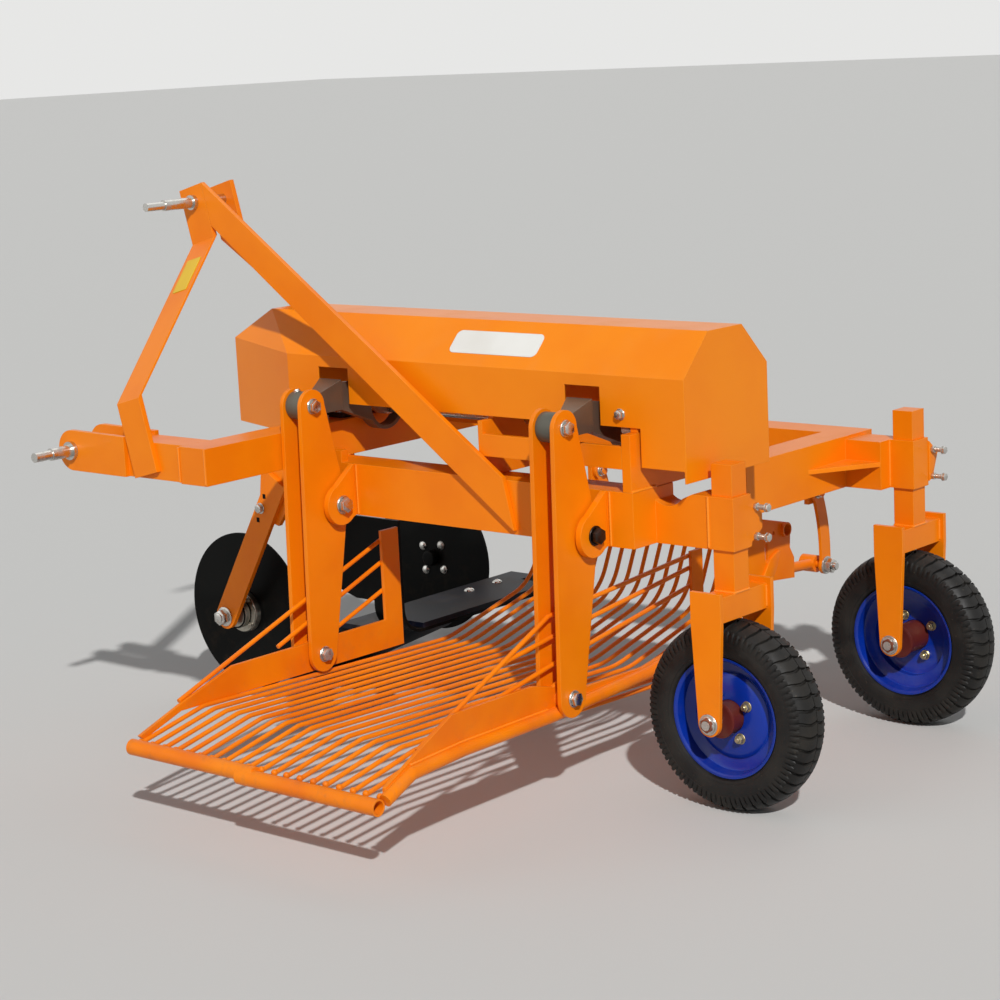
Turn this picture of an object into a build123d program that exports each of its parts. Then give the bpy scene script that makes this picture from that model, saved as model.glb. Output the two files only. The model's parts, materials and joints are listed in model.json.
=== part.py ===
"""Offset potato digger with a shaken side-delivery sieve, in millimetres.

X points to the machine's right, Y forward to the tractor, Z up from the ground.
The left wheel's middle plane and its axle line are the datum of every other place.
"""
import os
from math import atan2, cos, radians, sin, tan

from build123d import *

os.makedirs("parts", exist_ok=True)

# ---------------------------------------------------------------- driving sizes
wheel_x = -22.0                 # left wheel's middle plane
axle_y = -744.0                 # left wheel's axle line
track = 726.0                   # between the wheels' middle planes
right_wheel_ahead = 25.0
fit = 0.3                       # soft clearance between neighbours
bolt_clearance = 0.3

# wheels
tyre_radius = 200.0
tyre_width = 100.0
rim_radius = 122.0
rim_width = 84.0
rim_wall = 3.0
flange_height = 5.0
rim_disc_x = 18.0               # outer face of the dished disc, from the middle plane
hub_radius = 34.0
hub_length = 120.0
axle_radius = 10.0
axle_reach = 106.0
lug_rows = 40
lug_height = 4.0

# wheel posts and forks
post = 50.0
post_top = 722.0
sleeve = 62.0
sleeve_bottom = 547.0
sleeve_top = 656.0
crown_under = 408.0
crown_size = 52.0
cheek_top = 472.0
lug_plate = 9.0
lug_reach = 38.0
fork_inside = 84.0              # from the middle plane to the inner face of a fork plate
fork_plate = 10.0
fork_width = 74.0
fork_eye = 26.0

# beams
beam_width = 84.0
beam_bottom = 547.0
beam_top = 663.0
left_beam_out = 106.0           # left of the wheel plane
left_beam_rear = 175.0          # ahead of the axle
left_beam_front = 1112.0
end_plate = 12.0
cross_size = 82.0
cross_rear = 1040.0
cross_left = 462.0              # left of the wheel plane
cross_right = 800.0
right_beam_out = 767.0          # right of the left wheel's plane
right_beam_width = 84.0
rear_beam_rear = 147.0
rear_beam_left = 270.0
rear_beam_depth = 80.0
bulkhead_top = 782.0

# hitch
hitch_x = -80.0                 # middle of the hitch, from the left wheel's plane
hitch_half = 382.0              # to the outer face of a link plate
link_plate = 12.0
arm_width = 80.0
arm_front = 1345.0
link_pin_y = 1485.0
link_pin_z = 710.0
link_eye = 46.0
link_pin_big = 14.0
link_pin_small = 11.0
link_pin_step = 62.0
link_pin_reach = 108.0

# mast
mast_lean = 14.7
mast_foot_y = 1242.0
mast_foot_z = 690.0
mast_low_knee = 150.0
mast_high_knee = 479.0
mast_top = 607.0
mast_width = 76.0
mast_plate = 12.0
ear_half = 51.5
top_pin_along = 571.0
top_pin_big = 12.5
top_pin_small = 9.5
top_pin_step = 92.0
top_pin_reach = 145.0
brace_width = 80.0
brace_low_y = 484.0
brace_low_z = 610.0

# rockers
pivot_x = -147.0
pivot_z = 577.0
front_rocker_y = 1000.0
rear_rocker_y = 284.0
rocker_plate = 10.0
rocker_over = 65.0
bush_x = -203.0
bush_z = 805.0
bush_radius = 30.0
foot_x = -213.0
foot_z = 247.0
rocker_top_r = 37.0
rocker_pivot_r = 35.0
rocker_foot_r = 40.0
pivot_pin_r = 11.0
ear_plate = 14.0
ear_gap = 6.0
small_pin_r = 9.0

# eccentric shaft
shaft_x = 50.0
shaft_z = 775.0
shaft_radius = 20.0
shaft_rear = 80.0
stub_radius = 17.4             # the end the tractor's drive shaft slides on to
stub_rear = 1355.0
stub_front = 1440.0
eccentric_radius = 26.0
eccentric_throw = 8.0
ring_inner = 50.0
ring_outer = 59.0
ring_depth = 30.0
bridge_plate = 12.0
bridge_front = 572.0
bridge_low = 710.0
bridge_high = 757.0
rod_rear = 17.0                 # rear face of a rod, behind its rocker's middle
rod_flare = 50.0                # front face at the wide end, ahead of the rocker's middle
rod_rise = 44.0                 # top of a rod's wide end above its rocker bush's middle

# hood
hood_left = -80.0
hood_width = 290.0
hood_chamfer = 86.0
hood_rear = 45.0
hood_bend = 897.0
hood_top = 985.0
hood_sheet = 3.0
hood_side_bottom = 792.0
hood_skirt_bottom = 712.0
hood_right_step = 1020.0        # the right side hangs lower behind this line, up to the cross beam
hood_low = 687.0
nose_start = 1165.0
nose_front = 1427.0
nose_top_front = 1295.0
nose_corner_z = 912.0
opening_top = 872.0
opening_width = 92.0
opening_clear = 8.0

# sieve
pipe_radius = 17.0
pipe_x = -765.0
pipe_z = 170.0
pipe_step = 6.0                 # the rear half lies this much lower and further out
pipe_lap = 640.0
sieve_front = 990.0             # middle of the front side plate
sieve_rear = 286.0
side_plate = 8.0
side_rail_r = 13.8              # tube under the rear side plate
side_rail_y = 276.0
grate_rod_r = 5.0
grate_rods = 20
bend_x = -570.0
bend_z = 212.0
floor_end_x = 210.0
floor_end_z = 188.0
rise_x = 520.0
rise_z = 262.0
rail_x = 604.0
rail_z = 446.0
guard_r = 5.0
hanger_pin_x = 736.0
hanger_pin_z = 339.0
hanger_top_x = 708.0
hanger_top_z = 516.0
hanger_to_lug = 20.0            # from a hanger's middle to the sieve's lug
lug_length = 40.0
open_clear = 1.5                # play at the hangers' lower pins
hanger_plate = 8.0
hanger_width = 36.0
front_hanger_y = 900.0
rear_hanger_y = 262.0

# digging tools
disc_radius = 193.0
disc_plate = 5.0
disc_y = 1495.0
disc_z = 229.0
left_disc_x = 50.0
right_disc_x = 730.0
arm_thick = 12.0
arm_wide = 62.0
arm_bolt_y = 1326.0
arm_bolt_z = 513.0
disc_hub_r = 50.0
share_left = 64.0
share_right = 690.0
seat_left = 160.0
seat_right = 630.0
share_flat_z = 220.0
share_wide_y = 1108.0
share_bend_y = 1190.0
share_tip_y = 1530.0
share_point = 110.0
share_nose = 40.0
share_plate = 12.0
frame_left = 92.0
frame_right = 698.0
frame_plate = 8.0
frame_corner = 66.0
frame_rear = 1012.0
frame_depth = 90.0
frame_top = 490.0


def px(offset):
    """X of a place given to the right of the left wheel's plane."""
    return wheel_x + offset


def py(offset):
    """Y of a place given ahead of the left wheel's axle."""
    return axle_y + offset


def block(left, right, rear, front, low, high, mode=Mode.ADD):
    """A box between six faces, X and Y measured from the left wheel."""
    middle = (px((left + right) / 2), py((rear + front) / 2), (low + high) / 2)
    with Locations(middle):
        Box(right - left, front - rear, high - low, mode=mode)


def bar(start, end, radius, mode=Mode.ADD):
    """A round bar between two places, X and Y measured from the left wheel."""
    first = Vector(px(start[0]), py(start[1]), start[2])
    last = Vector(px(end[0]), py(end[1]), end[2])
    run = last - first
    with Locations(Plane(origin=(first + last) * 0.5, z_dir=run)):
        Cylinder(radius, run.length, mode=mode)


def looking_forward(offset):
    """The upright plane across the machine, drawn in X and Z; extrudes to the rear."""
    return Plane(origin=(wheel_x, py(offset), 0), x_dir=(1, 0, 0), z_dir=(0, -1, 0))


def looking_left(offset):
    """The upright plane along the machine, drawn in Y and Z; extrudes to the right."""
    return Plane(origin=(px(offset), axle_y, 0), x_dir=(0, 1, 0), z_dir=(1, 0, 0))


# ---------------------------------------------------------------- wheels
wheel_places = [("left", 0.0, 0.0, -1), ("right", track, right_wheel_ahead, 1)]

for side, wheel_at, ahead, outward in wheel_places:
    hub_plane = Plane(origin=(px(wheel_at), py(ahead), tyre_radius), x_dir=(0, 1, 0), z_dir=(1, 0, 0))
    half = tyre_width / 2

    with BuildPart() as tyre:
        with BuildSketch(Plane(origin=hub_plane.origin, x_dir=(1, 0, 0), z_dir=(0, -1, 0))):
            with BuildLine():
                bead = rim_radius + fit
                seat = rim_width / 2 - rim_wall - 2 * fit
                over_flange = rim_radius + flange_height + 2 * fit
                shoulder = tyre_radius - lug_height - 14
                crown = tyre_radius - lug_height
                Polyline((-seat, bead), (-seat, over_flange), (-half + 3, over_flange + 6), (-half, bead + 24),
                         (-half, shoulder - 22))
                ThreePointArc((-half, shoulder - 22), (-half + 7, shoulder - 4), (-half + 20, shoulder + 8))
                ThreePointArc((-half + 20, shoulder + 8), (0, crown), (half - 20, shoulder + 8))
                ThreePointArc((half - 20, shoulder + 8), (half - 7, shoulder - 4), (half, shoulder - 22))
                Polyline((half, shoulder - 22), (half, bead + 24), (half - 3, over_flange + 6), (seat, over_flange),
                         (seat, bead), (-seat, bead))
            make_face()
        revolve(axis=Axis(hub_plane.origin, (1, 0, 0)))
        tread_plane = Plane(origin=hub_plane.origin - Vector(half - 16, 0, 0), x_dir=(0, 1, 0), z_dir=(1, 0, 0))
        with BuildSketch(tread_plane):
            with PolarLocations(tyre_radius - 7, lug_rows):
                Rectangle(14, 12)
        extrude(amount=tyre_width - 32)
        with BuildSketch(hub_plane.offset(-half)):
            Circle(tyre_radius)
            Circle(tyre_radius * 0.5, mode=Mode.SUBTRACT)
        extrude(amount=tyre_width, mode=Mode.INTERSECT)
    tyre.part.label = f"{side}_tyre"
    export_step(tyre.part, f"parts/{side}_tyre.step")

    with BuildPart() as rim:
        with BuildSketch(hub_plane.offset(-rim_width / 2)):
            Circle(rim_radius)
            Circle(rim_radius - rim_wall, mode=Mode.SUBTRACT)
        extrude(amount=rim_width)
        disc_at = outward * rim_disc_x
        with BuildSketch(hub_plane.offset(disc_at - rim_wall)):
            Circle(rim_radius)
            Circle(hub_radius + fit, mode=Mode.SUBTRACT)
        extrude(amount=2 * rim_wall)
        for flange_at in (-rim_width / 2, rim_width / 2 - rim_wall):
            with BuildSketch(hub_plane.offset(flange_at)):
                Circle(rim_radius + flange_height)
                Circle(rim_radius - 1, mode=Mode.SUBTRACT)
            extrude(amount=rim_wall)
    rim.part.label = f"{side}_rim"
    export_step(rim.part, f"parts/{side}_rim.step")

    with BuildPart() as hub:
        with BuildSketch(hub_plane.offset(-hub_length / 2)):
            Circle(hub_radius)
            Circle(axle_radius + fit, mode=Mode.SUBTRACT)
        extrude(amount=hub_length)
        with BuildSketch(hub_plane.offset(disc_at + rim_wall)):
            Circle(hub_radius + 24)
            Circle(hub_radius - 2, mode=Mode.SUBTRACT)
        extrude(amount=6)
    hub.part.label = f"{side}_hub"
    export_step(hub.part, f"parts/{side}_hub.step")

    with BuildPart() as axle:
        with BuildSketch(hub_plane.offset(-axle_reach)):
            Circle(axle_radius)
        extrude(amount=2 * axle_reach)
        for nut_at in (-axle_reach + 3, fork_inside + fork_plate):
            with BuildSketch(hub_plane.offset(nut_at)):
                RegularPolygon(radius=16, side_count=6)
            extrude(amount=axle_reach - 3 - fork_inside - fork_plate)
    axle.part.label = f"{side}_axle"
    export_step(axle.part, f"parts/{side}_axle.step")

    with BuildPart() as fork:
        block(wheel_at - post / 2, wheel_at + post / 2, ahead - post / 2, ahead + post / 2,
              crown_under + crown_size, post_top)
        block(wheel_at - fork_inside, wheel_at + fork_inside, ahead - crown_size / 2, ahead + crown_size / 2,
              crown_under, crown_under + crown_size)
        for cheek in (-fork_inside - fork_plate, fork_inside):
            with BuildSketch(Plane(origin=(px(wheel_at + cheek), py(ahead), 0), x_dir=(0, 1, 0), z_dir=(1, 0, 0))):
                with Locations((0, (crown_under + cheek_top) / 2)):
                    Rectangle(fork_width, cheek_top - crown_under)
                with BuildLine():
                    Polyline((-fork_width / 2, crown_under), (fork_width / 2, crown_under),
                             (fork_eye, tyre_radius), (-fork_eye, tyre_radius), close=True)
                make_face()
                with Locations((0, tyre_radius)):
                    Circle(fork_eye)
                    Circle(axle_radius + fit, mode=Mode.SUBTRACT)
            extrude(amount=fork_plate)
    fork.part.label = f"{side}_fork"
    export_step(fork.part, f"parts/{side}_fork.step")

# ---------------------------------------------------------------- frame
with BuildPart() as left_beam:
    block(-left_beam_out, -left_beam_out + beam_width, left_beam_rear, left_beam_front, beam_bottom, beam_top)
    block(-left_beam_out, sleeve / 2, left_beam_rear - end_plate, left_beam_rear, beam_bottom, beam_top)
    with BuildSketch(looking_left(-sleeve / 2)):
        with BuildLine():
            Polyline((sleeve / 2, beam_bottom), (left_beam_rear - end_plate, beam_bottom),
                     (left_beam_rear - end_plate, beam_top - 26))
            ThreePointArc((left_beam_rear - end_plate, beam_top - 26), (130, beam_top - 36), (94, beam_top - 18))
            Polyline((94, beam_top - 18), (70, sleeve_top), (sleeve / 2, sleeve_top), (sleeve / 2, beam_bottom))
        make_face()
    extrude(amount=sleeve)
    block(-sleeve / 2, sleeve / 2, -sleeve / 2, sleeve / 2, sleeve_bottom, sleeve_top)
    block(-post / 2 - fit, post / 2 + fit, -post / 2 - fit, post / 2 + fit, sleeve_bottom - 1, sleeve_top + 1,
          mode=Mode.SUBTRACT)
    block(-left_beam_out, -left_beam_out + 22, cross_rear - 55, cross_rear, beam_top - 1, beam_top + 26)
    with BuildSketch(looking_forward(-sleeve / 2 + lug_plate)):
        with BuildLine():
            Polyline((sleeve / 2 - 1, sleeve_bottom + 8), (sleeve / 2 + lug_reach, sleeve_bottom + 32),
                     (sleeve / 2 + lug_reach, sleeve_top - 32), (sleeve / 2 - 1, sleeve_top - 8), close=True)
        make_face()
    extrude(amount=lug_plate)
left_beam.part.label = "left_beam"
export_step(left_beam.part, "parts/left_beam.step")

with BuildPart() as cross_beam:
    block(-cross_left, cross_right, cross_rear, cross_rear + cross_size, beam_top + fit, beam_top + fit + cross_size)
cross_beam.part.label = "cross_beam"
export_step(cross_beam.part, "parts/cross_beam.step")

right_sleeve_x = track
with BuildPart() as right_frame:
    block(right_beam_out - right_beam_width, right_beam_out, rear_beam_rear, left_beam_front, beam_bottom, beam_top)
    block(rear_beam_left, right_beam_out, rear_beam_rear, rear_beam_rear + rear_beam_depth, beam_bottom, beam_top)
    block(track - 70, track + 14, right_wheel_ahead + sleeve / 2 - 1, rear_beam_rear, sleeve_bottom, sleeve_top)
    block(track - sleeve / 2, track + sleeve / 2, right_wheel_ahead - sleeve / 2, right_wheel_ahead + sleeve / 2,
          sleeve_bottom, sleeve_top)
    block(track - post / 2 - fit, track + post / 2 + fit, right_wheel_ahead - post / 2 - fit,
          right_wheel_ahead + post / 2 + fit, sleeve_bottom - 1, sleeve_top + 1, mode=Mode.SUBTRACT)
    with BuildSketch(Plane(origin=(wheel_x, axle_y, 600), x_dir=(1, 0, 0), z_dir=(0, 0, 1))):
        with BuildLine():
            Polyline((track - 70 - 150, rear_beam_rear), (track - 70, rear_beam_rear),
                     (track - 70, rear_beam_rear - 90), close=True)
        make_face()
    extrude(amount=10)
right_frame.part.label = "right_frame"
export_step(right_frame.part, "parts/right_frame.step")

with BuildPart() as rear_bulkhead:
    block(-left_beam_out, rear_beam_left + 80, left_beam_rear - 10, left_beam_rear + 12, beam_top + fit, bulkhead_top)
    with Locations(Plane(origin=(px(shaft_x), py(left_beam_rear), shaft_z), z_dir=(0, 1, 0))):
        Cylinder(52, 22)
        Cylinder(shaft_radius + fit, 60, mode=Mode.SUBTRACT)
rear_bulkhead.part.label = "rear_bulkhead"
export_step(rear_bulkhead.part, "parts/rear_bulkhead.step")

# ---------------------------------------------------------------- hitch
cross_top = beam_top + fit + cross_size
cross_front = cross_rear + cross_size
with BuildPart() as hitch_arms:
    for outward in (-1, 1):
        outer = hitch_x + outward * (hitch_half - link_plate)
        inner = outer - outward * arm_width
        block(min(outer, inner), max(outer, inner), cross_front + fit, arm_front, beam_top + fit, cross_top)
        for plate_at in (outer, inner - outward * link_plate):
            plate_low = min(plate_at, plate_at + outward * link_plate)
            with BuildSketch(looking_left(plate_low)):
                with BuildLine():
                    Polyline((arm_front - 40, beam_top + fit), (arm_front, beam_top + fit),
                             (link_pin_y, link_pin_z - link_eye), (link_pin_y, link_pin_z + link_eye),
                             (arm_front - 40, cross_top + 8), close=True)
                make_face()
                with Locations((link_pin_y, link_pin_z)):
                    Circle(link_eye)
                    Circle(link_pin_big + fit, mode=Mode.SUBTRACT)
            extrude(amount=link_plate)
hitch_arms.part.label = "hitch_arms"
export_step(hitch_arms.part, "parts/hitch_arms.step")

with BuildPart() as link_pins:
    for outward in (-1, 1):
        root = hitch_x + outward * hitch_half
        inside = root - outward * (2 * link_plate + arm_width + 14)
        bar((inside, link_pin_y, link_pin_z), (root + outward * link_pin_step, link_pin_y, link_pin_z), link_pin_big)
        bar((root, link_pin_y, link_pin_z), (root + outward * link_pin_reach, link_pin_y, link_pin_z), link_pin_small)
        bar((root + outward * fit, link_pin_y, link_pin_z), (root + outward * 10, link_pin_y, link_pin_z), 21)
link_pins.part.label = "link_pins"
export_step(link_pins.part, "parts/link_pins.step")

lean_up = (0, sin(radians(mast_lean)), cos(radians(mast_lean)))
lean_back = (0, -cos(radians(mast_lean)), sin(radians(mast_lean)))
mast_plane = Plane(origin=(px(hitch_x), py(mast_foot_y), mast_foot_z), x_dir=(1, 0, 0), z_dir=lean_back)
with BuildPart() as mast:
    for outward in (-1, 1):
        with BuildSketch(mast_plane.offset(-mast_width / 2)):
            with BuildLine():
                foot_half = hitch_half
                Polyline((outward * foot_half, -18), (outward * foot_half, mast_low_knee),
                         (outward * ear_half, mast_high_knee), (outward * ear_half, mast_top),
                         (outward * (ear_half - mast_plate), mast_top),
                         (outward * (ear_half - mast_plate), mast_high_knee + 5),
                         (outward * (foot_half - mast_plate), mast_low_knee + 5),
                         (outward * (foot_half - mast_plate), -18), close=True)
            make_face()
        extrude(amount=mast_width)
    pin_centre = mast_plane.from_local_coords((0, top_pin_along, 0))
    with Locations(Plane(origin=pin_centre, z_dir=(1, 0, 0))):
        Cylinder(top_pin_big + fit, 4 * ear_half, mode=Mode.SUBTRACT)
mast.part.label = "mast"
export_step(mast.part, "parts/mast.step")

with BuildPart() as top_pin:
    ear_left = pin_centre - Vector(ear_half, 0, 0)
    with BuildSketch(Plane(origin=pin_centre + Vector(ear_half + 22, 0, 0), z_dir=(-1, 0, 0))):
        Circle(top_pin_big)
    extrude(amount=2 * ear_half + 22 + top_pin_step)
    with BuildSketch(Plane(origin=ear_left, z_dir=(-1, 0, 0))):
        Circle(top_pin_small)
    extrude(amount=top_pin_reach)
    with BuildSketch(Plane(origin=ear_left - Vector(fit, 0, 0), z_dir=(-1, 0, 0))):
        Circle(17)
    extrude(amount=10)
top_pin.part.label = "top_pin"
export_step(top_pin.part, "parts/top_pin.step")

ear_rear = mast_plane.from_local_coords((-ear_half, (mast_high_knee + mast_top) / 2 + 14, mast_width / 2))
brace_low = Vector(px(-left_beam_out - fit), py(brace_low_y), brace_low_z)
brace_high = Vector(ear_rear.X + mast_plate, ear_rear.Y, ear_rear.Z)
brace_run = brace_high - brace_low
brace_flat = Plane(origin=brace_low, x_dir=(brace_run.X, brace_run.Y, 0), z_dir=(brace_run.Y, -brace_run.X, 0))
with BuildPart() as brace:
    with BuildSketch(brace_flat):
        reach = Vector(brace_run.X, brace_run.Y, 0).length
        rise = brace_run.Z
        steep = brace_width * (reach ** 2 + rise ** 2) ** 0.5 / reach / 2
        with BuildLine():
            Polyline((-10, -steep - 4), (reach - steep * tan(radians(mast_lean)) - 1, rise - steep),
                     (reach + steep * tan(radians(mast_lean)) - 1, rise + steep), (16, steep + 10), close=True)
        make_face()
    extrude(amount=-mast_plate)
brace.part.label = "mast_brace"
export_step(brace.part, "parts/mast_brace.step")

# ---------------------------------------------------------------- rockers and connecting rods
rocker_places = [("front", front_rocker_y), ("rear", rear_rocker_y)]
ear_at = rocker_over / 2 + ear_gap

with BuildPart() as rocker_ears:
    for side, rocker_y in rocker_places:
        for ear_rear_face in (rocker_y - ear_at, rocker_y + ear_at + ear_plate):
            with BuildSketch(looking_forward(ear_rear_face)):
                with BuildLine():
                    Polyline((pivot_x, pivot_z - 46), (-left_beam_out - fit, beam_bottom),
                             (-left_beam_out - fit, beam_top), (pivot_x - 20, pivot_z + 40), close=True)
                make_face()
                with Locations((pivot_x, pivot_z)):
                    Circle(46)
                with Locations((-left_beam_out + 50 - fit, pivot_z)):
                    Rectangle(100, 200, mode=Mode.SUBTRACT)
            extrude(amount=ear_plate)
        bar((pivot_x, rocker_y - ear_at - ear_plate - 14, pivot_z),
            (pivot_x, rocker_y + ear_at + ear_plate + 14, pivot_z), pivot_pin_r)
rocker_ears.part.label = "rocker_ears"
export_step(rocker_ears.part, "parts/rocker_ears.step")

for side, rocker_y in rocker_places:
    with BuildPart() as rocker:
        for plate_rear in (rocker_y - rocker_over / 2 + rocker_plate, rocker_y + rocker_over / 2):
            with BuildSketch(looking_forward(plate_rear)):
                with BuildLine():
                    Polyline((bush_x - rocker_top_r, bush_z), (bush_x + rocker_top_r, bush_z),
                             (pivot_x + rocker_pivot_r, pivot_z), (foot_x + rocker_foot_r, foot_z),
                             (foot_x - rocker_foot_r, foot_z), close=True)
                make_face()
                with Locations((bush_x, bush_z)):
                    Circle(rocker_top_r)
                with Locations((pivot_x, pivot_z)):
                    Circle(rocker_pivot_r)
                with Locations((foot_x, foot_z)):
                    Circle(rocker_foot_r)
                with Locations((pivot_x, pivot_z)):
                    Circle(pivot_pin_r + fit, mode=Mode.SUBTRACT)
            extrude(amount=rocker_plate)
        with Locations(Plane(origin=(px(pivot_x), py(rocker_y), pivot_z), z_dir=(0, 1, 0))):
            Cylinder(28, rocker_over - 1)
            Cylinder(pivot_pin_r + fit, rocker_over + 4, mode=Mode.SUBTRACT)
        for pin_x, pin_z in ((bush_x, bush_z), (foot_x, foot_z)):
            bar((pin_x, rocker_y - rocker_over / 2 - 12, pin_z), (pin_x, rocker_y + rocker_over / 2 + 12, pin_z),
                small_pin_r)
    rocker.part.label = f"{side}_rocker"
    export_step(rocker.part, f"parts/{side}_rocker.step")

    with BuildPart() as rod:
        bush_half = rocker_over / 2 - rocker_plate - 1
        widens_x = bush_x + rocker_top_r + 8
        bar((bush_x, rocker_y - bush_half, bush_z), (bush_x, rocker_y + bush_half, bush_z), bush_radius)
        with BuildSketch(Plane(origin=(wheel_x, axle_y, bush_z - 24), x_dir=(1, 0, 0), z_dir=(0, 0, 1))):
            with BuildLine():
                Polyline((bush_x, rocker_y - rod_rear), (hood_left - 14, rocker_y - rod_rear),
                         (hood_left - 14, rocker_y + rod_flare), (widens_x, rocker_y + rod_rear),
                         (bush_x, rocker_y + rod_rear), close=True)
            make_face()
        extrude(amount=24 + rod_rise)
        with BuildSketch(looking_forward(rocker_y + 2 * rod_flare)):
            with BuildLine():
                Polyline((bush_x - 5, bush_z + rod_rise + 1), (bush_x - 5, bush_z + 24), (widens_x, bush_z + 24),
                         (hood_left - 13, bush_z + rod_rise), (hood_left - 13, bush_z + rod_rise + 1), close=True)
            make_face()
        extrude(amount=3 * rod_flare, mode=Mode.SUBTRACT)
        with BuildSketch(looking_forward(rocker_y + ring_depth / 2)):
            with BuildLine():
                Polyline((hood_left - 16, bush_z - 24), (hood_left - 16, bush_z + rod_rise - 4),
                         (shaft_x - 30, shaft_z + 48), (shaft_x - 30, shaft_z - 40), close=True)
            make_face()
            with Locations((shaft_x, shaft_z)):
                Circle(ring_outer)
                Circle(ring_inner, mode=Mode.SUBTRACT)
        extrude(amount=ring_depth)
        bar((bush_x, rocker_y - rocker_over, bush_z), (bush_x, rocker_y + rocker_over, bush_z),
            small_pin_r + fit, mode=Mode.SUBTRACT)
    rod.part.label = f"{side}_rod"
    export_step(rod.part, f"parts/{side}_rod.step")

with BuildPart() as shaft:
    bar((shaft_x, shaft_rear, shaft_z), (shaft_x, stub_rear, shaft_z), shaft_radius)
    bar((shaft_x, stub_rear - 1, shaft_z), (shaft_x, stub_front, shaft_z), stub_radius)
    for side, rocker_y in rocker_places:
        bar((shaft_x + eccentric_throw, rocker_y - 15, shaft_z), (shaft_x + eccentric_throw, rocker_y + 15, shaft_z),
            eccentric_radius)
shaft.part.label = "eccentric_shaft"
export_step(shaft.part, "parts/eccentric_shaft.step")

# ---------------------------------------------------------------- shaft bearings
with BuildPart() as bridge:
    block(-left_beam_out, -left_beam_out + bridge_plate, left_beam_rear + 12 + fit, bridge_front, bridge_low, bridge_high)
    block(-left_beam_out, hood_left + 10, bridge_front - bridge_plate, bridge_front, beam_top + fit, hood_side_bottom - 7)
    block(hood_left + 10, shaft_x + 60, bridge_front - bridge_plate, bridge_front, beam_top + fit, shaft_z + 55)
    bar((shaft_x, bridge_front - 20, shaft_z), (shaft_x, bridge_front + 2, shaft_z), shaft_radius + fit,
        mode=Mode.SUBTRACT)
bridge.part.label = "bearing_bridge"
export_step(bridge.part, "parts/bearing_bridge.step")

bearing_places = [(cross_rear + 18, cross_front - 18), (bridge_front + fit, bridge_front + 20)]
with BuildPart() as bearings:
    for low_y, high_y in bearing_places:
        bar((shaft_x, low_y, shaft_z), (shaft_x, high_y, shaft_z), 44)
    block(shaft_x - 70, shaft_x + 70, cross_rear + 18, cross_front - 18, cross_top + fit, cross_top + 12)
    block(shaft_x - 50, shaft_x + 50, cross_rear + 10, cross_front - 10, cross_top - 30, cross_top + fit,
          mode=Mode.SUBTRACT)
    for low_y, high_y in bearing_places:
        bar((shaft_x, low_y - 1, shaft_z), (shaft_x, high_y + 1, shaft_z), shaft_radius + fit, mode=Mode.SUBTRACT)
bearings.part.label = "bearings"
export_step(bearings.part, "parts/bearings.step")

# ---------------------------------------------------------------- hood
hood_right = hood_left + hood_width
hood_mid = hood_left + hood_width / 2
flat_half = hood_width / 2 - hood_chamfer
with BuildPart() as hood:
    with BuildSketch(looking_forward(nose_front)):
        with BuildLine():
            Polyline((hood_left, hood_low), (hood_left, hood_bend), (hood_mid - flat_half, hood_top),
                     (hood_mid + flat_half, hood_top), (hood_right, hood_bend), (hood_right, hood_low), close=True)
        make_face()
    extrude(amount=nose_front - hood_rear)
    for side in (-1, 1):
        wall = Vector(px(hood_mid + side * hood_width / 2), py(nose_start), hood_bend)
        corner = Vector(px(hood_mid + side * flat_half), py(nose_front), nose_corner_z)
        crest = Vector(px(hood_mid + side * flat_half), py(nose_top_front), hood_top)
        across = corner - wall
        inward = Vector(-side, 0, 0)
        upright = across.cross(Vector(0, 0, 1))
        upright = upright if upright.dot(inward) > 0 else upright * -1
        split(bisect_by=Plane(origin=wall, z_dir=upright), keep=Keep.TOP)
        sloped = across.cross(crest - wall)
        sloped = sloped if sloped.Z < 0 else sloped * -1
        split(bisect_by=Plane(origin=wall, z_dir=sloped), keep=Keep.TOP)
    front_slope = Vector(0, hood_top - nose_corner_z, nose_front - nose_top_front) * -1
    split(bisect_by=Plane(origin=crest, z_dir=front_slope), keep=Keep.TOP)
    under = hood.faces().filter_by(Axis.Z).sort_by(Axis.Z)[0]
    offset(amount=-hood_sheet, openings=[under])
    block(hood_left - 5, hood_mid, hood_rear + 112, nose_start - 35, hood_low - 1, hood_side_bottom,
          mode=Mode.SUBTRACT)
    block(hood_mid - 5, hood_right + 5, hood_right_step, nose_front + 5, hood_low - 1, hood_side_bottom,
          mode=Mode.SUBTRACT)
    block(hood_mid - 5, hood_right + 5, hood_rear + 112, left_beam_rear + 22, hood_low - 1, hood_side_bottom,
          mode=Mode.SUBTRACT)
    block(hood_left - 5, hood_right + 5, hood_rear + hood_sheet + 1, nose_front + 5, hood_low - 1, hood_skirt_bottom,
          mode=Mode.SUBTRACT)
    block(hood_mid - flat_half + 8, hood_mid + flat_half - 8, nose_front - 20, nose_front + 5, hood_low - 1,
          nose_corner_z - 12, mode=Mode.SUBTRACT)
    for side, rocker_y in rocker_places:
        block(hood_left - 5, hood_left + hood_sheet + 5, rocker_y - rod_rear - opening_clear,
              rocker_y - rod_rear - opening_clear + opening_width, hood_side_bottom - 1, opening_top,
              mode=Mode.SUBTRACT)
hood.part.label = "hood"
export_step(hood.part, "parts/hood.step")

# ---------------------------------------------------------------- sieve
front_face = sieve_front - side_plate / 2
rear_face = sieve_rear + side_plate / 2
pitch = (front_face - rear_face - 2 * grate_rod_r - 2 * fit) / (grate_rods - 1)
first_rod = rear_face + grate_rod_r + fit

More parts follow.
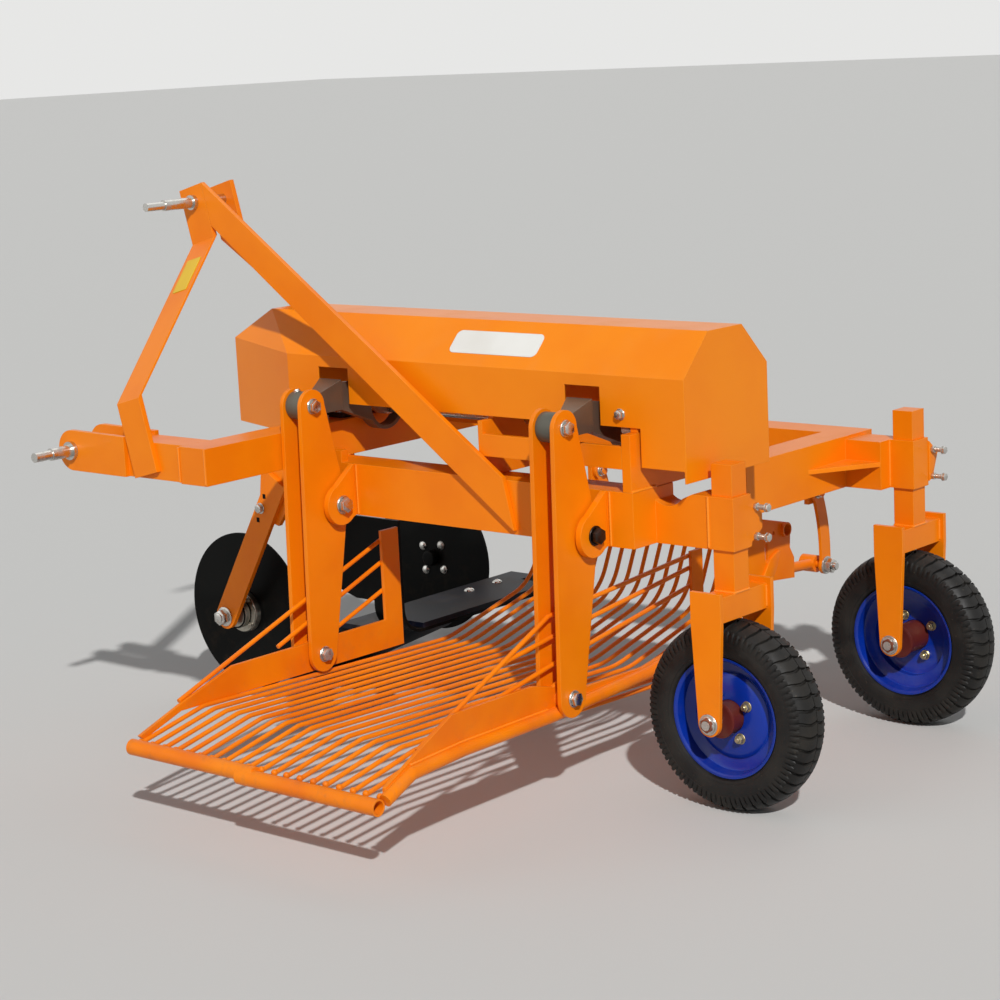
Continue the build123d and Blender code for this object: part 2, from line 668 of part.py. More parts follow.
with BuildPart() as grate:
    bar((pipe_x, pipe_lap - 20, pipe_z), (pipe_x, sieve_front, pipe_z), pipe_radius)
    bar((pipe_x - pipe_step, sieve_rear - 8, pipe_z - pipe_step), (pipe_x - pipe_step, pipe_lap + 20, pipe_z - pipe_step),
        pipe_radius)
    bar((pipe_x, pipe_lap + 21, pipe_z), (pipe_x, sieve_front + 1, pipe_z), pipe_radius - 3.5, mode=Mode.SUBTRACT)
    bar((pipe_x - pipe_step, sieve_rear - 9, pipe_z - pipe_step), (pipe_x - pipe_step, pipe_lap - 21, pipe_z - pipe_step),
        pipe_radius - 3.5, mode=Mode.SUBTRACT)
    bar((rail_x, sieve_rear - 12, rail_z), (rail_x, sieve_front, rail_z), pipe_radius)
    bar((rail_x, sieve_rear - 13, rail_z), (rail_x, sieve_front + 1, rail_z), pipe_radius - 3.5, mode=Mode.SUBTRACT)
    for number in range(grate_rods):
        rod_plane = looking_forward(first_rod + number * pitch)
        with BuildLine(rod_plane) as rod_path:
            FilletPolyline((pipe_x + pipe_radius - 2, pipe_z + 5), (bend_x, bend_z), (floor_end_x, floor_end_z),
                           (rise_x, rise_z), (rail_x - 3, rail_z - pipe_radius + 2), radius=(60, 260, 130))
        rod_start = Plane(origin=rod_path.line @ 0, z_dir=rod_path.line % 0)
        with BuildSketch(rod_start):
            Circle(grate_rod_r)
        sweep(path=rod_path.line)
grate.part.label = "sieve_grate"
export_step(grate.part, "parts/sieve_grate.step")

boss_half = rocker_over / 2 - rocker_plate - 1.5
with BuildPart() as sieve_front_side:
    with BuildSketch(looking_forward(sieve_front + side_plate / 2)):
        with BuildLine():
            Polyline((pipe_x + pipe_radius + 12, 178), (-628, 214), (9, 207), (64, 207), (64, 484), (9, 484), (9, 275),
                     (-472, 277), (-628, 229), (pipe_x + pipe_radius + 2, 188), close=True)
        make_face()
        with Locations((foot_x, foot_z)):
            Circle(small_pin_r + fit, mode=Mode.SUBTRACT)
    extrude(amount=side_plate)
    bar((foot_x, front_rocker_y - boss_half, foot_z), (foot_x, front_rocker_y + boss_half, foot_z), 24)
    bar((foot_x, front_rocker_y - rocker_over, foot_z), (foot_x, front_rocker_y + rocker_over, foot_z),
        small_pin_r + fit, mode=Mode.SUBTRACT)
sieve_front_side.part.label = "sieve_front_side"
export_step(sieve_front_side.part, "parts/sieve_front_side.step")

# the tube under the rear side plate: X and Z of its bends
side_rail = [(-754.0, 174.3), (-678.0, 208.0), (-528.0, 217.0), (-263.0, 217.0), (64.0, 232.0), (250.0, 262.0)]
with BuildPart() as sieve_rear_side:
    with BuildSketch(looking_forward(sieve_rear + side_plate / 2)):
        with BuildLine():
            Polyline((pipe_x + pipe_radius + 2, 176), (-678, 206), (-528, 215), (-263, 215), (64, 222), (250, 246),
                     (330, 262), (460, 345), (640, 326), (640, 374), (624, 400), (rail_x + 24, rail_z + 6), (470, 496),
                     (455, 380), (286, 300), (286, 463), (246, 463), (246, 272), (60, 246), (-150, 250), (-303, 290),
                     (-549, 291), (pipe_x + pipe_radius + 2, 196), close=True)
        make_face()
        with Locations((rail_x, rail_z)):
            Circle(pipe_radius + fit, mode=Mode.SUBTRACT)
        with Locations((foot_x, foot_z)):
            Circle(36)
        with Locations((530, 405)):
            SlotOverall(46, 12, rotation=90, mode=Mode.SUBTRACT)
        with Locations((500, 460), (560, 445)):
            Circle(5, mode=Mode.SUBTRACT)
    extrude(amount=side_plate)
    for start, end in zip(side_rail, side_rail[1:]):
        bar((start[0], side_rail_y, start[1]), (end[0], side_rail_y, end[1]), side_rail_r)
        with Locations((px(end[0]), py(side_rail_y), end[1])):
            Sphere(side_rail_r)
    bar((foot_x, rear_rocker_y - boss_half, foot_z), (foot_x, rear_rocker_y + boss_half, foot_z), 24)
    bar((foot_x, rear_rocker_y - rocker_over, foot_z), (foot_x, rear_rocker_y + rocker_over, foot_z),
        small_pin_r + fit, mode=Mode.SUBTRACT)
    lug_rear = rear_hanger_y + hanger_to_lug
    bar((hanger_pin_x, lug_rear, hanger_pin_z), (hanger_pin_x, lug_rear + lug_length, hanger_pin_z), 20)
    bar((626, lug_rear + 12, hanger_pin_z + 9), (hanger_pin_x, lug_rear + 12, hanger_pin_z), 12)
    bar((hanger_pin_x, lug_rear - 1, hanger_pin_z), (hanger_pin_x, lug_rear + lug_length + 1, hanger_pin_z),
        small_pin_r + open_clear, mode=Mode.SUBTRACT)
sieve_rear_side.part.label = "sieve_rear_side"
export_step(sieve_rear_side.part, "parts/sieve_rear_side.step")

lug_rear = front_hanger_y + hanger_to_lug
with BuildPart() as front_lug:
    with BuildSketch(looking_forward(lug_rear + side_plate)):
        with BuildLine():
            Polyline((rail_x - 24, rail_z), (rail_x + 6, rail_z - 30), (hanger_pin_x - 6, hanger_pin_z - 19),
                     (hanger_pin_x + 16, hanger_pin_z + 12), (rail_x + 22, rail_z + 10), close=True)
        make_face()
        with Locations((rail_x, rail_z)):
            Circle(pipe_radius + 8)
        with Locations((rail_x, rail_z)):
            Circle(pipe_radius + fit, mode=Mode.SUBTRACT)
    extrude(amount=side_plate)
    bar((hanger_pin_x, lug_rear, hanger_pin_z), (hanger_pin_x, lug_rear + lug_length, hanger_pin_z), 20)
    bar((hanger_pin_x, lug_rear - 1, hanger_pin_z), (hanger_pin_x, lug_rear + lug_length + 1, hanger_pin_z),
        small_pin_r + open_clear, mode=Mode.SUBTRACT)
front_lug.part.label = "sieve_front_lug"
export_step(front_lug.part, "parts/sieve_front_lug.step")

# each guard rod: start X, start Z, end X, end Z
front_guards = [(-622, 232, 14, 459), (-325, 284, 14, 408), (-151, 284, 14, 342)]
with BuildPart() as front_guard:
    for start_x, start_z, end_x, end_z in front_guards:
        guard_y = sieve_front + side_plate / 2 + guard_r + fit
        bar((start_x, guard_y, start_z), (end_x + 20, guard_y, end_z + 7), guard_r)
front_guard.part.label = "front_guard_rods"
export_step(front_guard.part, "parts/front_guard_rods.step")

# each guard rod: start X, start Z, knee X, knee Z, end Z at the rear post
rear_guards = [(-640, 240, -231, 418, 452), (-372, 354, -234, 372, 425), (-400, 286, -238, 313, 385)]
with BuildPart() as rear_guard:
    for start_x, start_z, knee_x, knee_z, end_z in rear_guards:
        guard_y = sieve_rear + side_plate / 2 + guard_r + fit
        bar((start_x, guard_y, start_z), (knee_x, guard_y, knee_z), guard_r)
        bar((knee_x, guard_y, knee_z), (266, guard_y, end_z), guard_r)
        with Locations((px(knee_x), py(guard_y), knee_z)):
            Sphere(guard_r)
rear_guard.part.label = "rear_guard_rods"
export_step(rear_guard.part, "parts/rear_guard_rods.step")

# ---------------------------------------------------------------- right hangers
for side, hanger_y in (("front", front_hanger_y), ("rear", rear_hanger_y)):
    with BuildPart() as hanger:
        with BuildSketch(looking_forward(hanger_y + hanger_plate / 2)):
            for end_x, end_z in ((hanger_top_x, hanger_top_z), (hanger_pin_x, hanger_pin_z)):
                with Locations((end_x, end_z)):
                    Circle(hanger_width / 2 + 3)
            with BuildLine():
                ThreePointArc((hanger_top_x - 18, hanger_top_z), (hanger_pin_x - 22, 430), (hanger_pin_x - 18, hanger_pin_z))
                Line((hanger_pin_x - 18, hanger_pin_z), (hanger_pin_x + 18, hanger_pin_z))
                ThreePointArc((hanger_pin_x + 18, hanger_pin_z), (hanger_pin_x + 14, 430), (hanger_top_x + 18, hanger_top_z))
                Line((hanger_top_x + 18, hanger_top_z), (hanger_top_x - 18, hanger_top_z))
            make_face()
        extrude(amount=hanger_plate)
        bar((hanger_pin_x, hanger_y - 22, hanger_pin_z), (hanger_pin_x, hanger_y + 60, hanger_pin_z), small_pin_r)
        bar((hanger_top_x, hanger_y - 18, hanger_top_z), (hanger_top_x, hanger_y + 22, hanger_top_z), small_pin_r)
    hanger.part.label = f"{side}_hanger"
    export_step(hanger.part, f"parts/{side}_hanger.step")

with BuildPart() as hanger_lugs:
    for hanger_y in (front_hanger_y, rear_hanger_y):
        block(hanger_top_x - 24, hanger_top_x + 24, hanger_y + 6, hanger_y + 18, hanger_top_z - 26, beam_bottom - fit)
        bar((hanger_top_x, hanger_y, hanger_top_z), (hanger_top_x, hanger_y + 30, hanger_top_z), small_pin_r + fit,
            mode=Mode.SUBTRACT)
hanger_lugs.part.label = "hanger_lugs"
export_step(hanger_lugs.part, "parts/hanger_lugs.step")

# ---------------------------------------------------------------- coulter discs
with BuildPart() as coulter_arms:
    for disc_x, inward in ((left_disc_x, 1), (right_disc_x, -1)):
        arm_face = disc_x - inward * 76
        arm_left = min(arm_face, arm_face + inward * arm_thick)
        along_y = disc_y - arm_bolt_y
        along_z = arm_bolt_z - disc_z
        length = (along_y ** 2 + along_z ** 2) ** 0.5
        unit_y = along_y / length
        unit_z = along_z / length
        top_y = arm_bolt_y - 80 * unit_y
        top_z = arm_bolt_z + 80 * unit_z
        with BuildSketch(looking_left(arm_left)):
            with BuildLine():
                half_wide = arm_wide / 2
                Polyline((disc_y - half_wide * unit_z, disc_z - half_wide * unit_y),
                         (disc_y + half_wide * unit_z, disc_z + half_wide * unit_y),
                         (top_y + half_wide * unit_z, top_z + half_wide * unit_y),
                         (top_y - half_wide * unit_z, top_z - half_wide * unit_y), close=True)
            make_face()
            with Locations((disc_y, disc_z)):
                Circle(arm_wide / 2)
        extrude(amount=arm_thick)
        bar((arm_face - inward * 22, disc_y, disc_z), (disc_x + inward * 22, disc_y, disc_z), 11)
        bar((disc_x + inward * 5, disc_y, disc_z), (disc_x + inward * 16, disc_y, disc_z), 19)
coulter_arms.part.label = "coulter_arms"
export_step(coulter_arms.part, "parts/coulter_arms.step")

with BuildPart() as coulter_brackets:
    for disc_x, inward in ((left_disc_x, 1), (right_disc_x, -1)):
        bracket_face = disc_x - inward * (76 - arm_thick - fit)
        bracket_left = min(bracket_face, bracket_face + inward * arm_thick)
        with BuildSketch(looking_left(bracket_left)):
            with BuildLine():
                Polyline((cross_rear + 6, beam_top), (1340, beam_top), (1364, 486), (1300, 470), (1200, 600),
                         (cross_rear + 6, 600), close=True)
            make_face()
        extrude(amount=arm_thick)
coulter_brackets.part.label = "coulter_brackets"
export_step(coulter_brackets.part, "parts/coulter_brackets.step")

for side, disc_x, inward in (("left", left_disc_x, 1), ("right", right_disc_x, -1)):
    with BuildPart() as disc:
        with BuildSketch(looking_left(disc_x - disc_plate / 2)):
            with Locations((disc_y, disc_z)):
                Circle(disc_radius)
                Circle(11 + fit, mode=Mode.SUBTRACT)
        extrude(amount=disc_plate)
        for hub_from, hub_radius_here in ((-46, 36), (-24, disc_hub_r)):
            start = disc_x + inward * hub_from
            bar((start, disc_y, disc_z), (disc_x, disc_y, disc_z), hub_radius_here)
        bar((disc_x - 60, disc_y, disc_z), (disc_x + 60, disc_y, disc_z), 11 + fit, mode=Mode.SUBTRACT)
    disc.part.label = f"{side}_disc"
    export_step(disc.part, f"parts/{side}_disc.step")

# ---------------------------------------------------------------- share
frame_under = share_flat_z - fit - frame_plate
frame_inner = frame_corner - frame_plate
with BuildPart() as share_frame:
    with BuildSketch(looking_forward(frame_rear + frame_depth)):
        with BuildLine():
            Line((frame_left, frame_top), (frame_left, frame_under + frame_corner))
            RadiusArc((frame_left, frame_under + frame_corner), (frame_left + frame_corner, frame_under), -frame_corner)
            Line((frame_left + frame_corner, frame_under), (frame_right - frame_corner, frame_under))
            RadiusArc((frame_right - frame_corner, frame_under), (frame_right, frame_under + frame_corner), -frame_corner)
            Polyline((frame_right, frame_under + frame_corner), (frame_right, beam_bottom - fit),
                     (frame_right - frame_plate, beam_bottom - fit), (frame_right - frame_plate, frame_under + frame_corner))
            RadiusArc((frame_right - frame_plate, frame_under + frame_corner),
                      (frame_right - frame_corner, frame_under + frame_plate), frame_inner)
            Line((frame_right - frame_corner, frame_under + frame_plate),
                 (frame_left + frame_corner, frame_under + frame_plate))
            RadiusArc((frame_left + frame_corner, frame_under + frame_plate),
                      (frame_left + frame_plate, frame_under + frame_corner), frame_inner)
            Polyline((frame_left + frame_plate, frame_under + frame_corner), (frame_left + frame_plate, frame_top),
                     (frame_left, frame_top))
        make_face()
    extrude(amount=frame_depth)
    with BuildSketch(looking_left(frame_left)):
        with BuildLine():
            Polyline((frame_rear, 360), (frame_rear, frame_top), (1175, frame_top), (1165, beam_top),
                     (cross_front + fit, beam_top), (cross_front + fit, cross_top), (1215, cross_top), (1345, 500),
                     (1290, 330), (1160, 290), (frame_rear + frame_depth, 290), close=True)
        make_face()
    extrude(amount=frame_plate)
share_frame.part.label = "share_frame"
export_step(share_frame.part, "parts/share_frame.step")

share_slope = atan2(share_flat_z + share_plate, share_tip_y - share_bend_y)
under_bend = share_bend_y - share_plate * tan(share_slope / 2)
with BuildPart() as share:
    block(seat_left, seat_right, frame_rear, share_bend_y, share_flat_z, share_flat_z + share_plate)
    with BuildSketch(looking_left(share_left)):
        with BuildLine():
            Polyline((under_bend, share_flat_z), (share_wide_y, share_flat_z), (share_wide_y, share_flat_z + share_plate),
                     (share_bend_y, share_flat_z + share_plate), (share_tip_y, 0),
                     (share_tip_y - share_plate / sin(share_slope), 0), close=True)
        make_face()
    extrude(amount=share_right - share_left)
    share_middle = (share_left + share_right) / 2
    for side_x, inner_x in ((share_left, share_middle - share_nose), (share_right, share_middle + share_nose)):
        with BuildSketch(Plane(origin=(wheel_x, axle_y, -1), x_dir=(1, 0, 0), z_dir=(0, 0, 1))):
            with BuildLine():
                Polyline((side_x, share_tip_y - share_point), (inner_x, share_tip_y), (inner_x, share_tip_y + 5),
                         (side_x, share_tip_y + 5), close=True)
            make_face()
        extrude(amount=share_flat_z, mode=Mode.SUBTRACT)
share.part.label = "share"
export_step(share.part, "parts/share.step")

# ---------------------------------------------------------------- hood brackets
bracket_thick = 10.0
left_inside = hood_left + hood_sheet + fit
right_inside = hood_right - hood_sheet - fit
# each bracket: rear face, front face, low, high
bracket_places = [(cross_rear + 34, cross_front - 6, cross_top + fit, 832.0),
                  (left_beam_rear - 8, left_beam_rear + 10, bulkhead_top + fit, 832.0)]
with BuildPart() as hood_brackets:
    for rear, front, low, high in bracket_places:
        block(left_inside, left_inside + bracket_thick, rear, front, low, high)
        block(right_inside - bracket_thick, right_inside, rear, front, low, high)
hood_brackets.part.label = "hood_brackets"
export_step(hood_brackets.part, "parts/hood_brackets.step")
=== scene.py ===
import json
from math import cos, pi, radians, sin

import bpy
from mathutils import Matrix, Vector


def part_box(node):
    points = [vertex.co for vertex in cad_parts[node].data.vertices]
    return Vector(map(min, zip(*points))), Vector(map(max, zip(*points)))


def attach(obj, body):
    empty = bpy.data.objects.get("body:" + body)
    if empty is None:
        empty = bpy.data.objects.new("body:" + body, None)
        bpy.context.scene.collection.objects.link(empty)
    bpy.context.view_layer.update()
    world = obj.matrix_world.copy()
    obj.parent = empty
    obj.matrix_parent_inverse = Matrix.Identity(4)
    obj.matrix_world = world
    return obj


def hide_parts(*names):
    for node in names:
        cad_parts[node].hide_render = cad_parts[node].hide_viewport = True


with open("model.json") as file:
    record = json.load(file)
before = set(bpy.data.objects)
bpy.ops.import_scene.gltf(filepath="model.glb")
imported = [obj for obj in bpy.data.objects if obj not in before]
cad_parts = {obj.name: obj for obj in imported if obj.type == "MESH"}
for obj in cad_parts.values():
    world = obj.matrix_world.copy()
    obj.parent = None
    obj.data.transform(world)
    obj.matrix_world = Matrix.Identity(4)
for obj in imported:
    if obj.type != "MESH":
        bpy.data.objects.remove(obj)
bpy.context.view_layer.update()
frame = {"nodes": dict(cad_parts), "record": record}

MM = 0.001

# ------------------------------------------------------------------ places
# Lengths are in millimetres. A place is (right, ahead, up): right of and ahead of the left wheel's
# axle, and above the ground.
wheel_centre = sum((Vector(corner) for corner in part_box("left_tyre")), Vector()) / 2

left_post, right_post = (0, 0), (726, 25)        # right, ahead
tyre_radius = 200.0
front_rocker_ahead, rear_rocker_ahead = 1000, 284
rocker_pivot = (-147, 577)                       # right, up
rod_eye = (-203, 805)                            # right, up
sieve_pin = (-213, 247)                          # right, up
coulter_axle = (1495, 229)                       # ahead, up
arm_bolt = (1345, 511)                           # ahead, up
drive_shaft = (50, 775)                          # right, up
mast_lean = radians(14.7)


def at(right, ahead, up):
    return Vector((wheel_centre.x + right * MM, wheel_centre.y + ahead * MM, up * MM))


ACROSS = Vector((1, 0, 0))
ALONG = Vector((0, 1, 0))
UP = Vector((0, 0, 1))


# ------------------------------------------------------------------ shader maths
class Wire:
    """A node socket that Python's operators can work on."""

    def __init__(self, recipe, socket):
        self.recipe = recipe
        self.socket = socket

    def maths(self, operation, first, second):
        return self.recipe.node("ShaderNodeMath", {"operation": operation}, sockets={0: first, 1: second})

    def __add__(self, other):
        return self.maths("ADD", self, other)

    def __radd__(self, other):
        return self.maths("ADD", other, self)

    def __sub__(self, other):
        return self.maths("SUBTRACT", self, other)

    def __rsub__(self, other):
        return self.maths("SUBTRACT", other, self)

    def __mul__(self, other):
        return self.maths("MULTIPLY", self, other)

    def __rmul__(self, other):
        return self.maths("MULTIPLY", other, self)


class Recipe:
    """A node tree being written: short ways to add nodes and to feed their sockets."""

    def __init__(self, owner):
        owner.use_nodes = True
        self.tree = owner.node_tree

    def feed(self, slot, value):
        if isinstance(value, Wire):
            self.tree.links.new(value.socket, slot)
        else:
            slot.default_value = value

    def node(self, kind, settings=None, output=0, sockets=None, **values):
        made = self.tree.nodes.new(kind)
        for key, value in (settings or {}).items():
            setattr(made, key, value)
        for key, value in {**(sockets or {}), **values}.items():
            self.feed(made.inputs[key], value)
        return Wire(self, made.outputs[output])


class Finish(Recipe):
    """A material being mixed, with patterns in the object's own coordinates."""

    def __init__(self, name):
        self.material = bpy.data.materials.new(name)
        super().__init__(self.material)
        self.shader = self.tree.nodes["Principled BSDF"]
        self.coords = self.node("ShaderNodeTexCoord", output="Object")

    def noise(self, scale, detail, roughness=0.55):
        return self.node("ShaderNodeTexNoise", Scale=scale, Detail=detail, Roughness=roughness,
                         Vector=self.coords)

    def band(self, value, low, high):
        """0 below low, 1 above high, smooth between."""
        return self.node("ShaderNodeMapRange", {"interpolation_type": "SMOOTHSTEP"}, Value=value,
                         sockets={"From Min": low, "From Max": high})

    def mix(self, amount, first, second):
        """From the first colour to the second by an amount."""
        return self.node("ShaderNodeMix", {"data_type": "RGBA"}, 2, {0: amount, 6: first, 7: second})

    def facing_up(self):
        normal = self.node("ShaderNodeNewGeometry", output="Normal")
        return self.node("ShaderNodeSeparateXYZ", output="Z", Vector=normal)

    def height(self):
        return self.node("ShaderNodeSeparateXYZ", output="Z", Vector=self.coords)

    def dot(self, one, other):
        return self.node("ShaderNodeVectorMath", {"operation": "DOT_PRODUCT"}, "Value", {0: one, 1: other})

    def bump(self, height, strength, distance, over=None):
        under = {"Normal": over} if over else {}
        return self.node("ShaderNodeBump", Height=height, Strength=strength, Distance=distance, **under)

    def set(self, **values):
        for key, value in values.items():
            self.feed(self.shader.inputs[key.replace("_", " ")], value)
        return self.material


def colour(red, green, blue):
    """A display colour, 0 to 255, as the shader wants it."""
    def straight(value):
        value /= 255
        return value / 12.92 if value <= 0.04045 else ((value + 0.055) / 1.055) ** 2.4
    return (straight(red), straight(green), straight(blue), 1.0)


dust_colour = colour(182, 160, 130)
soil_colour = colour(124, 98, 74)
edge_radius = 1.6 * MM
most_dust = 0.07


def painted(name, base, deep, chip, gloss=0.34, soiling=0.2, edge_highlight=None, shine=0.2):
    """Sprayed paint: drifting tone, orange peel, painted highlights on edges, thin dust on what faces up, a
    few chips.
    """
    mix = Finish(name)
    tone = mix.band(mix.noise(5.0, 3.0), 0.35, 0.7)
    skin = mix.mix(tone, base, deep)
    flat = mix.node("ShaderNodeNewGeometry", output="Normal")
    rounded = mix.node("ShaderNodeBevel", {"samples": 4}, Radius=edge_radius)
    likeness = mix.dot(flat, rounded)
    # Where the rounded normal parts from the flat one is an edge; it gets the painted edge highlight colour.
    edge = 1.0 - mix.band(likeness, 0.86, 0.985)
    if edge_highlight:
        skin = mix.mix(edge * 0.55, skin, edge_highlight)
    cloud = mix.band(mix.noise(11.0, 6.0, 0.62), 0.42, 0.78)
    dust = cloud * mix.band(mix.facing_up(), 0.2, 1.0) * most_dust
    skin = mix.mix(dust, skin, dust_colour)
    low = 1.0 - mix.band(mix.height(), 0.05, 0.34)
    soil = low * mix.band(mix.noise(26.0, 8.0, 0.66), 0.5, 0.68) * soiling
    skin = mix.mix(soil, skin, soil_colour)
    chips = mix.band(mix.noise(95.0, 5.0, 0.7), 0.765, 0.78)
    skin = mix.mix(chips, skin, chip)
    peel = mix.noise(420.0, 2.0)
    rough = 0.06 * cloud + soil * 0.45 + chips * 0.3 + gloss
    return mix.set(Base_Color=skin, Roughness=rough, Coat_Weight=0.02, Coat_Roughness=0.2,
                   Specular_IOR_Level=shine, Normal=mix.bump(peel - chips * 0.8, 0.14, 1 * MM, rounded))


def bare_metal(name, base, dark, rough_low, rough_high):
    """Turned or plated metal with fine scratches and dull stains."""
    mix = Finish(name)
    stain = mix.band(mix.noise(30.0, 7.0, 0.65), 0.42, 0.7)
    skin = mix.mix(stain * 0.5, base, dark)
    fine = mix.noise(540.0, 3.0)
    rough = stain * (rough_high - rough_low) + rough_low + (fine - 0.5) * 0.08
    return mix.set(Base_Color=skin, Roughness=rough, Metallic=1.0 - stain * 0.35,
                   Normal=mix.bump(fine, 0.14, 0.6 * MM))


def rubber(name):
    """Black tyre rubber, browner and duller in random patches, with pale specks."""
    mix = Finish(name)
    grime = mix.band(mix.noise(14.0, 7.0, 0.6), 0.4, 0.72)
    skin = mix.mix(grime, colour(17, 16, 15), colour(36, 33, 29))
    speck = mix.band(mix.noise(140.0, 4.0, 0.7), 0.62, 0.76)
    skin = mix.mix(speck * 0.35, skin, colour(112, 98, 80))
    return mix.set(Base_Color=skin, Roughness=0.5 + grime * 0.28, Specular_IOR_Level=0.3,
                   Normal=mix.bump(mix.noise(260.0, 4.0), 0.22, 1.2 * MM))


# The seventh argument of painted(), edge_highlight, is a painted highlight colour laid along the edges.
chipped_orange = colour(110, 52, 26)
orange = colour(240, 130, 5)
deeper_orange = colour(234, 121, 4)
orange_edge_highlight = colour(252, 168, 58)
orange_paint = painted("orange_paint", orange, deeper_orange, chipped_orange, edge_highlight=orange_edge_highlight)
sieve_paint = painted("sieve_paint", orange, colour(230, 112, 6), chipped_orange, 0.38, 0.3, orange_edge_highlight)
hood_paint = painted("hood_paint", colour(241, 135, 9), colour(238, 129, 6), chipped_orange, 0.3, 0.1,
                     orange_edge_highlight)
black_paint = painted("black_paint", colour(6, 7, 6), colour(10, 10, 9), colour(60, 56, 50), 0.42, 0.06,
                      colour(40, 40, 38), 0.06)
# The share's paint is black; the faint blue in these colours is a painted reflection of blue sky.
blue_sheen_black_paint = painted("blue_sheen_black_paint", colour(9, 12, 24), colour(13, 17, 32), colour(110, 106, 104), 0.46, 0.12,
                     colour(44, 48, 66), 0.14)
rim_paint = painted("rim_paint", colour(7, 47, 150), colour(6, 38, 130), colour(120, 122, 126), 0.18, 0.06,
                    colour(60, 104, 214), 0.36)
hub_paint = painted("hub_paint", colour(98, 34, 28), colour(80, 30, 26), colour(96, 60, 40), 0.45)
rod_paint = painted("rod_paint", colour(104, 86, 70), colour(84, 68, 56), colour(50, 42, 36), 0.28,
                    edge_highlight=colour(150, 138, 120), shine=0.5)
bush_grey = painted("bush_grey", colour(98, 95, 84), colour(82, 80, 72), colour(60, 56, 50), 0.36)
plated_steel = bare_metal("plated_steel", colour(205, 203, 198), colour(136, 128, 118), 0.22, 0.46)
brass_bolts = bare_metal("passivated_bolts", colour(196, 184, 150), colour(112, 96, 76), 0.32, 0.58)
dark_bolts = bare_metal("blackened_bolts", colour(62, 54, 48), colour(36, 32, 30), 0.35, 0.6)
rusty_nuts = bare_metal("rusty_nuts", colour(150, 92, 70), colour(104, 56, 40), 0.45, 0.75)
cast_steel = bare_metal("cast_steel", colour(168, 164, 152), colour(112, 104, 92), 0.3, 0.5)
grey_iron = bare_metal("grey_iron", colour(60, 54, 50), colour(40, 36, 34), 0.45, 0.7)
tyre_rubber = rubber("tyre_rubber")
white_plate = painted("blank_white_plate", colour(228, 226, 220), colour(220, 217, 210),
                      colour(180, 172, 160), 0.3)
yellow_plate = painted("blank_yellow_plate", colour(226, 186, 34), colour(218, 176, 30), colour(150, 120, 60))
weld_metal = painted("painted_weld", colour(244, 142, 26), colour(238, 130, 16), colour(98, 62, 40), 0.3,
                     edge_highlight=orange_edge_highlight, shine=0.5)
# The axle's end is hollow; this near-black colour on its flat end is painted shade standing in for the hole.
axle_end_hole_shade = painted("axle_end_hole_shade", colour(40, 34, 30), colour(28, 24, 22), colour(120, 110, 100), 0.3, 0.1)
# Near-black for painted shade inside holes that are not cut.
hole_shade_black = painted("hole_shade_black", colour(12, 10, 9), colour(14, 12, 11), colour(14, 12, 11), 0.8, 0.0,
                     shine=0.1)

materials_by_slot = {
    "frame_orange": orange_paint, "tyre_black": tyre_rubber, "rim_blue": rim_paint, "hub_brown": hub_paint,
    "bright_steel": plated_steel, "bearing_iron": grey_iron, "rod_steel": rod_paint, "tool_black": black_paint,
    "share_blue": blue_sheen_black_paint}
slot_of = {entry["node"]: entry["material_slot"] for entry in frame["record"]["subparts"]}
own_finish = {"hood": hood_paint, "sieve_grate": sieve_paint, "sieve_front_side": sieve_paint,
              "sieve_rear_side": sieve_paint, "front_guard_rods": sieve_paint, "rear_guard_rods": sieve_paint}
for node_name, node_object in frame["nodes"].items():
    finish = own_finish.get(node_name) or materials_by_slot[slot_of[node_name]]
    node_object.data.materials.clear()
    node_object.data.materials.append(finish)


# ------------------------------------------------------------------ making pieces
def deselect():
    if bpy.context.object and bpy.context.object.mode != "OBJECT":
        bpy.ops.object.mode_set(mode="OBJECT")
    bpy.ops.object.select_all(action="DESELECT")


def choose(*objects):
    deselect()
    for chosen in objects:
        chosen.select_set(True)
    bpy.context.view_layer.objects.active = objects[0]


def settle(piece):
    """Puts a piece's place into its mesh."""
    choose(piece)
    bpy.ops.object.transform_apply(location=True, rotation=True, scale=True)
    return piece


def apply_modifier(piece, kind, **settings):
    choose(piece)
    modifier = piece.modifiers.new(kind.lower(), kind)
    for key, value in settings.items():
        setattr(modifier, key, value)
    bpy.ops.object.modifier_apply(modifier=modifier.name)


def pick_edges(piece, wanted):
    """Goes into edit mode with only those edges selected whose two ends pass the test."""
    choose(piece)
    bpy.ops.object.mode_set(mode="EDIT")
    bpy.ops.mesh.select_mode(type="EDGE")
    bpy.ops.mesh.select_all(action="DESELECT")
    bpy.ops.object.mode_set(mode="OBJECT")
    for edge in piece.data.edges:
        edge.select = wanted(*(piece.data.vertices[index].co for index in edge.vertices))
    bpy.ops.object.mode_set(mode="EDIT")


def turn_to(direction):
    """The turn that lays the Z axis along a direction."""
    return Vector(direction).to_track_quat("Z", "Y")


def cylinder(centre, direction, radius, length, sides):
    deselect()
    bpy.ops.mesh.primitive_cylinder_add(vertices=sides, radius=radius * MM, depth=length * MM, location=centre,
                                        rotation=turn_to(direction).to_euler())
    return settle(bpy.context.object)


def slab(centre, size):
    deselect()
    bpy.ops.mesh.primitive_cube_add(size=MM, location=centre)
    bpy.context.object.scale = size
    return settle(bpy.context.object)


def hoop(centre, turn, radius, thick, sides):
    """A ring of round wire, standing up and turned about the line of travel."""
    deselect()
    bpy.ops.mesh.primitive_torus_add(major_radius=radius * MM, minor_radius=thick * MM, major_segments=sides,
                                     minor_segments=8, location=centre, rotation=(0, radians(turn), 0))
    return settle(bpy.context.object)


def blob(centre, radius):
    deselect()
    bpy.ops.mesh.primitive_uv_sphere_add(segments=10, ring_count=6, radius=radius * MM, location=centre)
    return settle(bpy.context.object)


